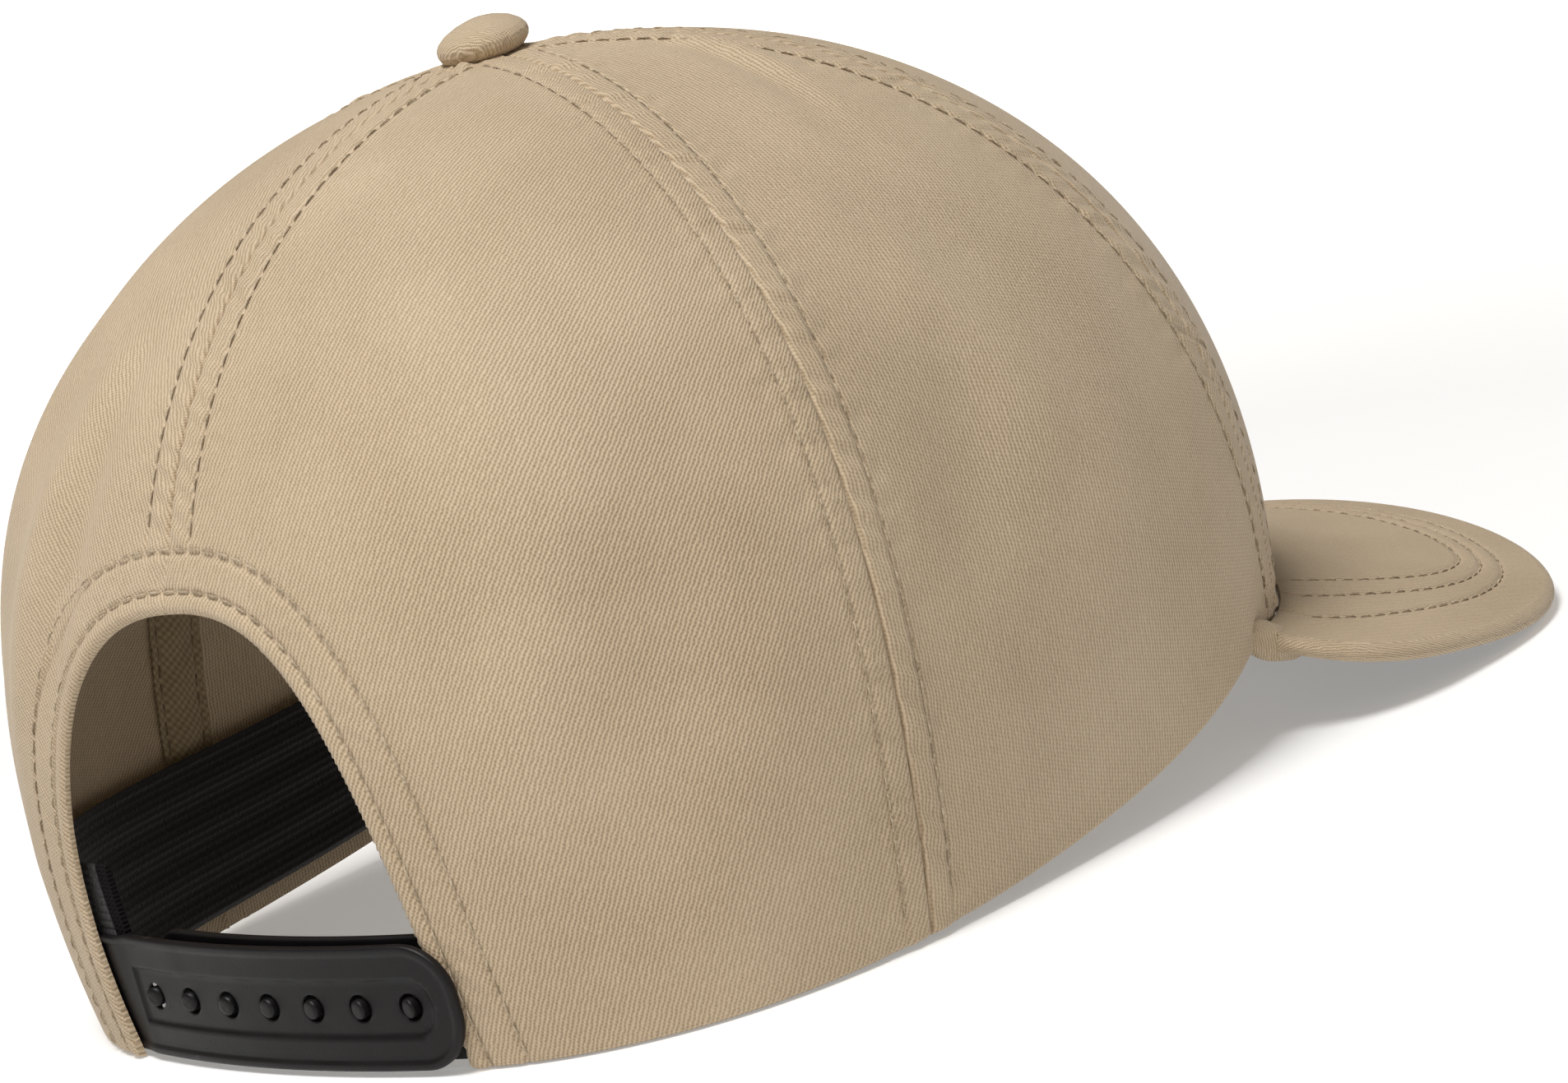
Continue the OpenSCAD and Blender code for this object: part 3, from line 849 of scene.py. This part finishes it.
def facing(material):
    """Cloth turned in behind the arch's hem."""
    ks = np.linspace(0.24, 1, 150)
    width = 12.0
    grows = np.array([0.15, 0.6, 1.5, 2.4, 3.1, 4.0, 6.0, 8.0, 8.8, 9.6, 10.6, 11.6, width])
    right = [arch_at(ks, -1.0, g) for g in grows]
    left = [arch_at(ks[::-1], 1.0, g) for g in grows]
    a = np.stack([np.concatenate([r[0], lf[0][1:] - 360]) for r, lf in zip(right, left)])
    t = np.stack([np.concatenate([r[1], lf[1][1:]]) for r, lf in zip(right, left)])
    g = grows[:, None]
    run = along(crown_point(a[0], t[0]))[None]
    puff = 0.16 * ripple("arch", run) * np.sin(np.pi * np.clip(g / width, 0, 1))
    dip = 0.22 * (bump(g, HEM_ROWS[0], 0.5) + bump(g, HEM_ROWS[1], 0.5))
    round_off = 0.45 * np.clip(1 - g / 1.2, 0, 1) ** 2 + 0.3 * np.clip((g - 11.2) / 0.8, 0, 1) ** 2
    outer = layer_points(a, t, 0.78)
    inner = layer_points(a, t, 1.35 + puff - dip - round_off)
    uv = np.stack([run + 0 * a, g + 0 * a], -1)
    sew(shell("arch_facing_cloth", inner, outer, uv), "twill", material, "arch_facing")


BAND_H = 31
BAND_FROM, BAND_TO = -150.0, 159.0
BINDING_ANGLE = 2.0
BAND_OUTER = 2.75
BAND_LOW_T = 0.012
BAND_TOP_T = BAND_H / (3 * 0.68 * CROWN_H) * 1.05


def band_layer(name, a0, a1, cols, inner_depth, relief):
    """A stretch of the band inside the hem; relief gives its face's height at a run and a rise."""
    a = np.linspace(a0, a1, cols)[None] + np.zeros((60, 1))
    k = np.linspace(0, 1, len(a))[:, None]
    t = BAND_LOW_T + (BAND_TOP_T - BAND_LOW_T) * k + 0 * a
    run = along(crown_point(a[0], t[0]))[None]
    rise = k * BAND_H
    round_off = 0.5 * (np.clip(1 - rise / 1.2, 0, 1) ** 2 + np.clip((rise - BAND_H + 1.2) / 1.2, 0, 1) ** 2)
    inner = layer_points(a, t, inner_depth + relief(run, rise) - round_off)
    outer = layer_points(a, t, BAND_OUTER + round_off * 0.4)
    return shell(name, inner, outer, np.stack([run + 0 * a, rise + 0 * a], -1))


def band_ribs(run, rise):
    return 0.28 * np.sin(rise * 2 * np.pi / 7.6) + 0 * run


def binding_curl(run, rise):
    return 0.35 * bump(run, run.max() / 2, run.max() * 0.4) + 0.05 * np.sin(rise * 4.2)


def sweatband():
    band = band_layer("sweatband_mesh", BAND_FROM, BAND_TO, 1100, 3.55, band_ribs)
    sew(band, "mesh_knit", knit_mesh("sweatband_mesh"), "sweatband")
    knit = knit_tape("binding_knit")
    for side, a0 in (("right", BAND_FROM - BINDING_ANGLE), ("left", BAND_TO)):
        node = "sweatband_binding_" + side
        ob = band_layer(node + "_knit", a0, a0 + BINDING_ANGLE, 16, 3.65, binding_curl)
        sew(ob, "knit_binding", knit, node)


def buckram():
    """Stiff open cloth behind the front panel."""
    t = np.linspace(0.02, 0.7, 80)[:, None]
    edge = FRONT_SEAM - 7.5 + bow(t)
    a = -edge + 2 * edge * np.linspace(0, 1, 90)[None]
    t = np.broadcast_to(t, a.shape)
    inner, outer = layer_points(a, t, 1.35), layer_points(a, t, 1.0)
    ob = shell("front_buckram_cloth", inner, outer, cloth_uv(a, t, 0))
    stiff = woven("buckram_cloth", (188, 186, 178), (222, 220, 213), 4200)
    sew(ob, "buckram", stiff, "front_buckram")


# ------------ brim


def brim_normal(x, y):
    n = np.stack([np.full(np.shape(x), math.tan(BRIM_PITCH)), 2 * BRIM_CURVE * y, np.ones(np.shape(x))], -1)
    return n / np.linalg.norm(n, axis=-1, keepdims=True)


# Stitched rows: distance from the edge in front, and how much wider they spread towards the corners
BRIM_ROWS = ((8.3, 4.2), (11.5, 11.5), (14.6, 18.8))
SPREAD_FROM = 125.0
WRAP = 2.2


def row_distance(row, x):
    """Distance of a stitched row from the brim's edge where it passes x."""
    return row[0] + row[1] * np.clip((SPREAD_FROM - x) / 45, 0, 2) ** 1.3


def brim_out(s):
    """Sideways unit normal of the outline, pointing out."""
    d = brim_outline(np.clip(s + 0.004, -1, 1)) - brim_outline(np.clip(s - 0.004, -1, 1))
    out = np.stack([d[:, 1], -d[:, 0]], -1)
    out /= np.linalg.norm(out, axis=1, keepdims=True)
    return out


def brim_rear(s):
    """Rear edge of the brim: the crown's base line with a small gap."""
    a = s * CORNER_A
    r = oval_r(a) + 0.5
    return np.stack([BUTTON_X + r * cosd(a), r * sind(a)], -1)


def edge_distance(plan):
    return nearest(plan, brim_outline(np.linspace(-1, 1, 1400)))[0]


def brim_cover(name, side):
    """Cloth on one face of the brim; the top cloth (side 1) also rolls round the edge."""
    s = np.linspace(-1, 1, int(420 * FINE))
    s = s + 0.02 * np.sin(np.pi * s)
    edge, out = brim_outline(s), brim_out(s)
    fade = np.clip((1 - np.abs(s)) / 0.03, 0.12, 1)[:, None]
    inset = (WRAP if side > 0 else 0.9) * fade
    k = np.linspace(0, 1, int(150 * FINE))
    k = (k + 0.06 * np.sin(np.pi * k))[:, None, None]
    plan = brim_rear(s)[None] * (1 - k) + (edge - out * inset)[None] * k
    e = edge_distance(plan)
    x, y = plan[..., 0], plan[..., 1]
    groove = sum(bump(e, row_distance(row, x), 0.55) for row in BRIM_ROWS) * 0.34
    middle = [(row_distance(a, x) + row_distance(b, x)) / 2 for a, b in zip(BRIM_ROWS, BRIM_ROWS[1:])]
    swell = sum(bump(e, m, 1.6) for m in middle) * 0.16
    n = brim_normal(x, y) * side
    height = CLOTH_OUT - groove + swell
    if side < 0:
        height = height - 0.25 - edge_turn(e, 1.6, 0.5)
    base = np.stack([x, y, brim_z(x, y)], -1)
    outer = base + n * height[..., None]
    inner = base + n * np.minimum(CLOTH_IN, height - 0.1)[..., None]
    uv = np.stack([y, x], -1)
    if side < 0:
        return shell(name, inner, outer, uv)
    roll_from, roll_to = 80, -68
    rolls = {CLOTH_OUT: [], CLOTH_IN: []}
    roll_uv = []
    for turn in np.radians(np.linspace(roll_from, roll_to, 16)):
        for thick, rows in rolls.items():
            p = edge - out * inset * (1 - math.cos(turn) * (1 if thick > CLOTH_IN else 0.7))
            lift = brim_normal(p[:, 0], p[:, 1]) * thick * math.sin(turn)
            rows.append(np.concatenate([p, brim_z(p[:, 0], p[:, 1])[:, None]], 1) + lift)
        roll_uv.append((edge - out * WRAP)[:, ::-1] + out[:, ::-1] * (math.radians(roll_from) - turn) * 1.8)
    outer = np.concatenate([outer, rolls[CLOTH_OUT]])
    inner = np.concatenate([inner, rolls[CLOTH_IN]])
    return shell(name, outer, inner, np.concatenate([uv, roll_uv]))


def brim_row_line(row):
    """Plan line of a stitched row."""
    s = np.linspace(-1, 1, 900)
    edge, out = brim_outline(s), brim_out(s)
    p = edge - out * row[0]
    for _ in range(6):
        p = edge - out * row_distance(row, p[:, 0])[:, None]
    clear = nearest(p, edge)[0] > row_distance(row, p[:, 0]) - 0.3
    a = np.degrees(np.arctan2(p[:, 1], p[:, 0] - BUTTON_X))
    ahead = np.hypot(p[:, 0] - BUTTON_X, p[:, 1]) > oval_r(a) + 1.0
    return p[clear & ahead & (np.abs(a) < 60)]


def corner_fold(name, side, material):
    """Soft fold of cloth where the crown wraps the brim's corner."""
    turns, rings = 60, 36
    q = np.linspace(0, 2 * math.pi, turns, endpoint=False)[None]
    k = np.linspace(0.02, math.pi - 0.02, rings)[:, None]
    crumple = 1 + 0.05 * np.sin(3 * q + 4 * k) + 0.03 * np.sin(7 * q - 3 * k)
    pts = np.stack([7.0 * np.cos(k) + 0 * q, 2.3 * np.sin(k) * np.cos(q) * crumple,
                    3.0 * np.sin(k) * np.sin(q) * crumple], -1)
    turn = Matrix.Rotation(math.radians(-16), 3, "Z") @ Matrix.Rotation(math.radians(30), 3, "Y")
    pts = pts.reshape(-1, 3) @ np.array(turn).T
    pts = (pts + [CORNER_X + 0.6, -(CORNER_Y + 1.0), CORNER_Z - 0.9]) * [1, -side, 1]
    faces = capped_tube(rings, turns)
    if side > 0:
        faces = [face[::-1] for face in faces]
    uv = np.stack([(k * 6.8 + 0 * q).ravel(), (q * 3.9 + 0 * k).ravel()], -1)
    sew(new_mesh(name, pts, faces, uv), "twill", material)


def brim(top_material, cotton):
    sew(brim_cover("brim_top_cloth_sewn", 1), "twill", top_material, "brim_top_cloth")
    corner_fold("corner_fold_right", -1, top_material)
    corner_fold("corner_fold_left", 1, top_material)
    dark = woven("under_cloth", (24, 22, 24), (50, 47, 49), 4600)
    sew(brim_cover("brim_under_cloth_sewn", -1), "under_cloth", dark, "brim_under_cloth")
    rows, under_rows = [], []
    for row in BRIM_ROWS:
        x, y = brim_row_line(row).T
        base = np.stack([x, y, brim_z(x, y)], -1)
        n = brim_normal(x, y)
        rows.append((base + n * (CLOTH_OUT - 0.14), n))
        under_rows.append((base - n * (CLOTH_OUT - 0.39), -n))
    sew(stitches("brim_stitches", rows), "tape_cloth", cotton)
    dark_thread = thread("brim_under_thread", (30, 28, 30), (78, 74, 76))
    sew(stitches("brim_under_stitches", under_rows), "under_cloth", dark_thread)


# ------------ button

# Outline of the covered button: radius and height above the crown, from the waist to the top
BUTTON_OUTLINE = [(5.2, 0.1), (6.2, 0.5), (6.95, 1.2), (7.3, 2.1), (7.25, 3.0), (6.7, 3.9), (5.5, 4.8),
                  (3.8, 5.5), (1.9, 5.95), (0.05, 6.1)]
BUTTON_TILT = math.radians(-8)


def button(material):
    """Cloth drawn over the button: pleats gather under its edge."""
    turns, rings = 200, 70
    angle = np.linspace(0, 2 * math.pi, turns, endpoint=False)[None]
    outline = np.array(BUTTON_OUTLINE)
    k = np.linspace(0, 1, rings)
    run = along(np.pad(outline, ((0, 0), (0, 1))))
    run = run / run[-1]
    r = np.interp(k, run, outline[:, 0])[:, None]
    z = np.interp(k, run, outline[:, 1])[:, None]
    gather = np.clip((0.45 - k) / 0.45, 0, 1)[:, None]
    pleat = gather * (0.16 * np.sin(angle * 15 + 0.6 * np.sin(angle * 2)) + 0.08 * np.sin(angle * 26 + 1))
    dent = 0.10 * np.sin(angle * 2 + 1) * np.sin(np.pi * k)[:, None]
    r = r + pleat + dent * 0.6
    pts = np.stack([r * np.cos(angle), r * np.sin(angle), z + dent + pleat * 0.4], -1)
    verts = np.concatenate([pts.reshape(-1, 3), [[0, 0, 6.12], [0, 0, 0.05]]])
    faces = capped_tube(rings, turns)[:-2]
    top, bottom = rings * turns, rings * turns + 1
    last = (rings - 1) * turns
    faces += [[last + j, last + (j + 1) % turns, top] for j in range(turns)]
    faces += [[(j + 1) % turns, j, bottom] for j in range(turns)]
    uv = verts[:, :2] * (1 + 0.25 * (1 - np.clip(verts[:, 2:] / 6, 0, 1)))
    cos, sin = math.cos(BUTTON_TILT), math.sin(BUTTON_TILT)
    placed = verts @ np.array([[cos, 0, -sin], [0, 1, 0], [sin, 0, cos]]) + [BUTTON_X, 0, CROWN_H]
    sew(new_mesh("button_cloth", placed, faces, uv), "twill", material, "button_cover")


# ------------ snap strap

STRAP_R = 186.0
STRAP_LIFT = 0.6
STRAP_MID_Z = STRAP_H / 2 + STRAP_LIFT
STRAP_SPACING = 3.9
HINGE_LEFT = ARCH_HALF_W - 3.2
HINGE_RIGHT = ARCH_HALF_W + 3.0
HOLED_TIP = -ARCH_HALF_W - 2.0
PEG_TIP = ARCH_HALF_W - 5.5
PEG_SHIFT = -0.9
TIP_ROUND = 8.0
TAB_PAST_HINGE = 14.4
TAB_DEPTH = 1.7
TAB_A = 155
SLACK_LEFT = 0.2
SLACK_RIGHT = 0.35
STRAP_UPRIGHT = math.radians(1.6)
CHANNEL_HALF = STRAP_H * 0.23
CHANNEL_START = 4.2
PEG_YS = [PEG_SHIFT + (i - (PEG_COUNT - 1) / 2) * PEG_PITCH for i in range(PEG_COUNT)]


def rear_x(y, z, side):
    """x of the crown's back at sideways distance y and height z."""
    return float(crown_point(*arch_find(np.array(y), np.array(z), side))[0])


LEFT_X = rear_x(HINGE_LEFT, STRAP_MID_Z, 1) + TWILL_T + 0.3 + STRAP_T / 2 + SLACK_LEFT
RIGHT_X = rear_x(ARCH_HALF_W, STRAP_MID_Z, -1) - 0.4 - STRAP_T / 2 - SLACK_RIGHT
SPAN = HINGE_LEFT + ARCH_HALF_W
SAGITTA = STRAP_R - math.sqrt(STRAP_R**2 - SPAN**2 / 4)
STRAP_X = (LEFT_X * ARCH_HALF_W + RIGHT_X * HINGE_LEFT) / SPAN - SAGITTA
HEM_RUN = rear_x(ARCH_HALF_W, 1, -1) - rear_x(ARCH_HALF_W, STRAP_H, -1)
STRAP_LEAN = math.atan(HEM_RUN / (STRAP_H - 1)) - STRAP_UPRIGHT
STRAP_SKEW = math.atan((LEFT_X - RIGHT_X) / SPAN)
STRAP_TURN = np.array(Matrix.Rotation(-STRAP_LEAN, 3, "Y") @ Matrix.Rotation(-STRAP_SKEW, 3, "Z"))


def on_arc(r, y, h):
    """Point of the straps' frame: radius from the arcs' centre, sideways distance and height."""
    d = np.arcsin(y / STRAP_R)
    local = np.stack(np.broadcast_arrays(STRAP_R - r * np.cos(d), r * np.sin(d), h), -1)
    return local @ STRAP_TURN.T + [STRAP_X, 0, STRAP_MID_Z]


def on_tab(y, h, out, side):
    """Point of a strap's sewn end, out millimetres outside its middle surface."""
    z = np.clip(STRAP_MID_Z + h, 0.8, STRAP_H + 0.2)
    a, t = arch_find(y - side * lean_at(TAB_A, z), z, side)
    return crown_point(a, t) - crown_normal(a, t) * (TAB_DEPTH - out)[..., None]


def smooth(x):
    x = np.clip(x, 0, 1)
    return x * x * (3 - 2 * x)


def strap_point(y, h, out, r_mid, hinge, side):
    """Strap along the arc that runs on into its tab behind the cloth, on the left (1) or right (-1)."""
    w = smooth((side * y - (hinge - 1.5)) / 4.0)[:, None]
    tab = on_tab(np.maximum(side * y, hinge - 2), h, out, side)
    return on_arc(r_mid + out, y, h) * (1 - w) + tab * w


def tongue_edge(u, h, half, r, length):
    """Distance inside the outline of a strip with one rounded end at u = 0."""
    corner = r - np.hypot(r - u, np.abs(h) - (half - r))
    in_corner = (u < r) & (np.abs(h) > half - r)
    e = np.where(in_corner, corner, np.minimum(u, half - np.abs(h)))
    return np.minimum(e, length - u)


def tongue_loop(off, half, r, length, start=0.0):
    """Closed outline of a strip with one rounded end at start, off millimetres inside it."""
    step = 0.5
    r = max(r - off, 0.05)
    half = half - off
    left, right = start + off, length - off
    arc_n = max(3, int(r * 1.57 / step))
    turns = np.linspace(0, math.pi / 2, arc_n)
    corner = [(left + r - r * math.cos(q), half - r + r * math.sin(q)) for q in turns]
    straight = [(x, half) for x in np.linspace(left + r, right, int((right - left - r) / step))[1:]]
    upper = corner + straight
    end = [(right, y) for y in np.linspace(half, -half, int(2 * half / step))[1:-1]]
    lower = [(x, -y) for x, y in reversed(upper)]
    tip = [(left, y) for y in np.linspace(-(half - r), half - r, max(2, int(2 * (half - r) / step)))[1:-1]]
    return upper + end + lower + tip


def strip_mesh(name, loops, size, keep_fill, inside, shape, place):
    """Closed moulded strip: the loops become edges, shape gives both faces' heights."""
    points, edges = [], []
    for loop in loops:
        first = len(points)
        points += loop
        edges += [(first + k, first + (k + 1) % len(loop)) for k in range(len(loop))]
    u, h = np.meshgrid(np.arange(0.5, size[0], 0.85), np.arange(-size[1], size[1], 0.85))
    u, h = u.ravel(), h.ravel()
    ok = keep_fill(u, h)
    points += list(zip(u[ok], h[ok]))
    cdt = delaunay_2d_cdt([Vector(p) for p in points], edges, [], 0, 1e-5, False)
    flat = np.array([tuple(v) for v in cdt[0]])
    tris = np.array(cdt[2])
    mid = flat[tris].mean(1)
    used, tris = np.unique(tris[inside(mid[:, 0], mid[:, 1])], return_inverse=True)
    u, h = flat[used].T
    tris = tris.reshape(-1, 3)
    n = len(u)
    top, bottom = shape(u, h)
    upper = place(u, h, top)
    directed = {edge for a, b, c in tris.tolist() for edge in ((a, b), (b, c), (c, a))}
    rim = sorted((a, b) for a, b in directed if (b, a) not in directed)
    faces = tris.tolist() + (tris[:, ::-1] + n).tolist() + [[b, a, a + n, b + n] for a, b in rim]
    ob = new_mesh(name, np.concatenate([upper, place(u, h, bottom)]), faces, sharp=55)
    out = place(u[:1], h[:1], top[:1] + 1.0)[0] - upper[0]
    if np.dot(out, ob.data.polygons[0].normal) < 0:
        ob.data.flip_normals()
    return ob


def blend_strap(ob, material, body, r_mid, ys, *nodes):
    """A strap's moulding: its material is set, its transform baked and the CAD nodes it replaces hidden;
    body is not used.
    """
    ob.data.materials.append(material)
    start, end = (on_arc(r_mid, np.array(ys), np.zeros(2)) * MM).tolist()
    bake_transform(ob)
    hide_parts(*nodes)


HOLED_LENGTH = HINGE_LEFT + TAB_PAST_HINGE - HOLED_TIP
CHANNEL_END = HINGE_LEFT - 1 - HOLED_TIP
HALF = STRAP_H / 2


def holed_strap(material):
    """Outer strap half: raised rim, flat face, sunken channel with seven holes."""
    hole_r = HOLE_D / 2
    hole_u = [y - HOLED_TIP for y in PEG_YS]
    loops = [tongue_loop(off, HALF, TIP_ROUND, HOLED_LENGTH)
             for off in (0, 0.1, 0.25, 0.5, 0.9, 1.25, 1.5, 1.8)]
    loops += [tongue_loop(off, CHANNEL_HALF, CHANNEL_HALF, CHANNEL_END, CHANNEL_START)
              for off in (-0.15, 0.05, 0.35)]
    turns = np.linspace(0, 2 * math.pi, 33)[:-1]
    loops += [[(c + r * math.cos(q), r * math.sin(q)) for q in turns]
              for c in hole_u for r in (hole_r, hole_r + 0.12, hole_r + 0.35)]

    def rim_e(u, h):
        return tongue_edge(u, h, HALF, TIP_ROUND, HOLED_LENGTH)

    def hole_gap(u, h):
        return np.min([np.hypot(u - c, h) for c in hole_u], axis=0) - hole_r

    def channel_e(u, h):
        return tongue_edge(u - CHANNEL_START, h, CHANNEL_HALF, CHANNEL_HALF, CHANNEL_END - CHANNEL_START)

    def keep_fill(u, h):
        return (rim_e(u, h) > 2.1) & (hole_gap(u, h) > 0.6) & (np.abs(channel_e(u, h) - 0.1) > 0.45)

    def inside(u, h):
        return (rim_e(u, h) > 0) & (hole_gap(u, h) > 0)

    def shape(u, h):
        e = rim_e(u, h)
        gap = hole_gap(u, h)
        top = STRAP_T / 2 - 0.35 * smooth((e - 1.1) / 0.5) - 0.4 * smooth((channel_e(u, h) + 0.15) / 0.4)
        top = top - edge_turn(e, 0.5, 0.42) - edge_turn(gap, 0.3, 0.14)
        bottom = -STRAP_T / 2 + edge_turn(e, 0.35, 0.3) + edge_turn(gap, 0.3, 0.1)
        return top, bottom

    def place(u, h, out):
        return strap_point(HOLED_TIP + u, h, out, STRAP_R, HINGE_LEFT, 1)

    ob = strip_mesh("holed_strap_moulding", loops, (HOLED_LENGTH, HALF), keep_fill, inside, shape, place)
    bend = (HINGE_LEFT + 1.8, HINGE_LEFT - 2.4)
    blend_strap(ob, material, "outer_strap", STRAP_R, bend, "holed_strap", "holed_strap_tab")


PEG_STRAP_R = STRAP_R - STRAP_SPACING
PEG_STRAP_LENGTH = PEG_TIP + HINGE_RIGHT + TAB_PAST_HINGE


def peg_strap(material):
    """Inner strap half: a plain strip."""
    loops = [tongue_loop(off, HALF, TIP_ROUND, PEG_STRAP_LENGTH) for off in (0, 0.1, 0.25, 0.5)]

    def rim_e(u, h):
        return tongue_edge(u, h, HALF, TIP_ROUND, PEG_STRAP_LENGTH)

    def keep_fill(u, h):
        return rim_e(u, h) > 0.9

    def inside(u, h):
        return rim_e(u, h) > 0

    def shape(u, h):
        face = STRAP_T / 2 - edge_turn(rim_e(u, h), 0.5, 0.42)
        return face, -face

    def place(u, h, out):
        return strap_point(PEG_TIP - u, h, out, PEG_STRAP_R, HINGE_RIGHT, -1)

    ob = strip_mesh("peg_strap_moulding", loops, (PEG_STRAP_LENGTH, HALF), keep_fill, inside, shape, place)
    bend = (-HINGE_RIGHT - 1.6, -HINGE_RIGHT + 2.6)
    blend_strap(ob, material, "inner_strap", PEG_STRAP_R, bend, "peg_strap", "peg_strap_tab")


def peg_point(y, along_arc, up, out):
    """Point of the peg at y: sideways and upward from its axis, and out from the strap's middle."""
    d = math.asin(y / STRAP_R)
    r = PEG_STRAP_R + out
    x = STRAP_R - r * math.cos(d) - along_arc * math.sin(d)
    local = np.array([x, r * math.sin(d) + along_arc * math.cos(d), up])
    return STRAP_TURN @ local + [STRAP_X, 0, STRAP_MID_Z]


def pegs(material):
    """Seven round pegs with a small foot and a domed top, one in each hole."""
    top = STRAP_SPACING + STRAP_T / 2 + 0.05
    foot = STRAP_T / 2 - 0.05
    r = PEG_D / 2
    profile = [(r + 0.35, foot), (r + 0.1, foot + 0.15), (r, foot + 0.45), (r, top - 0.55),
               (r - 0.08, top - 0.25), (r - 0.3, top - 0.06), (r * 0.5, top), (0.02, top)]
    sides = 40
    verts, faces = [], []
    for y in PEG_YS:
        faces += capped_tube(len(profile), sides, len(verts))
        for ring_r, z in profile:
            for j in range(sides):
                q = 2 * math.pi * j / sides
                verts.append(peg_point(y, ring_r * math.cos(q), ring_r * math.sin(q), z))
    ob = new_mesh("strap_pegs", verts, faces, sharp=60)
    ob.data.materials.append(material)
    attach(ob, "inner_strap")


# ------------ stage, lights and camera


FLOOR_HALF = 4
FLOOR_GLOW = 0.3
WORLD_GLOW = 0.2


def stage():
    """White floor that glows more away from the cap, and a dim warm world."""
    me = bpy.data.meshes.new("floor")
    corners = [(x * FLOOR_HALF, y * FLOOR_HALF, 0) for x, y in ((-1, -1), (1, -1), (1, 1), (-1, 1))]
    me.from_pydata(corners, [], [(0, 1, 2, 3)])
    floor = new_object("floor", me)
    floor.location.z = -0.0003
    m = Nodes("floor_paint")
    tone = m.noise(m.metres(), 3.0, 2)
    shade = m.ramp(tone, [(0.3, (216, 216, 216)), (0.7, (222, 222, 222))])
    away = m.add("VectorMath", {0: m.metres()}, operation="LENGTH")
    far = m.math("MAXIMUM", m.math("MINIMUM", m.math("SUBTRACT", away.outputs["Value"], 0.3), 0.9), 0.0)
    glow = m.math("MULTIPLY_ADD", far, 0.9, FLOOR_GLOW)
    me.materials.append(m.finish(shade, 0.7, Emission_Color=(1.0, 0.98, 0.95, 1), Emission_Strength=glow))
    world = bpy.data.worlds.new("studio")
    world.use_nodes = True
    background = world.node_tree.nodes["Background"]
    background.inputs["Color"].default_value = (1.0, 0.94, 0.86, 1)
    background.inputs["Strength"].default_value = WORLD_GLOW
    bpy.context.scene.world = world
    bpy.context.scene.view_settings.view_transform = "Standard"


def area_light(name, place, target_z, size, power, colour=(1, 1, 1)):
    """Round light that faces the axis of the frame at a height."""
    light = bpy.data.lights.new(name, "AREA")
    light.energy = power
    light.shape = "DISK"
    light.size = size
    light.color = colour
    ob = new_object(name, light)
    ob.location = place
    ob.rotation_euler = (Vector(place) - Vector((0, 0, target_z))).to_track_quat("Z", "Y").to_euler()


CAM_AZ = math.radians(-136.2956)
CAM_EL = math.radians(10.2669)
CAM_ROLL = math.radians(-13.1204)
CAM_DISTANCE = 0.8
CAM_LENS = 118.73
CAM_TARGET = Vector((0.0088681, -0.0214578, 0.0483256))


def camera():
    """The photo's view: behind the cap and to its right, and rolled."""
    level = math.cos(CAM_EL)
    back = Vector((math.cos(CAM_AZ) * level, math.sin(CAM_AZ) * level, math.sin(CAM_EL)))
    turn = back.to_track_quat("Z", "Y").to_matrix() @ Matrix.Rotation(CAM_ROLL, 3, "Z")
    data = bpy.data.cameras.new("camera")
    data.sensor_width = 36
    data.lens = CAM_LENS
    data.clip_start = 0.01
    ob = new_object("camera", data)
    ob.matrix_world = Matrix.Translation(CAM_TARGET + back * CAM_DISTANCE) @ turn.to_4x4()
    bpy.context.scene.camera = ob


def recolour(node, material):
    """Give a CAD node that stays its finished material."""
    slots = bpy.data.objects[node].data.materials
    slots.clear()
    slots.append(material)


def build():
    crown()
    cotton = crown_stitches()
    tapes(woven("tape_cloth", (132, 115, 88), (168, 150, 120), 4300))
    facing(twill("twill_arch_facing", 0.5))
    sweatband()
    buckram()
    brim(twill("twill_brim", 0.9, 0.46), cotton)
    button(twill("twill_button", 0.7, 0.42))
    black = strap_plastic("strap_plastic")
    holed_strap(black)
    peg_strap(black)
    pegs(black)
    recolour("brim_board", board("brim_board"))
    steel = metal("button_steel")
    for node in ("button_shell", "button_prong", "button_washer"):
        recolour(node, steel)


build()
stage()
area_light("key", (-0.60, -0.14, 1.66), 0.05, 0.8, 31)
area_light("fill", (-1.3, -0.5, 0.6), 0.05, 1.3, 0.9, (1.0, 0.93, 0.82))
area_light("back", (0.9, 1.3, 1.3), 0.06, 1.2, 2.5)
camera()
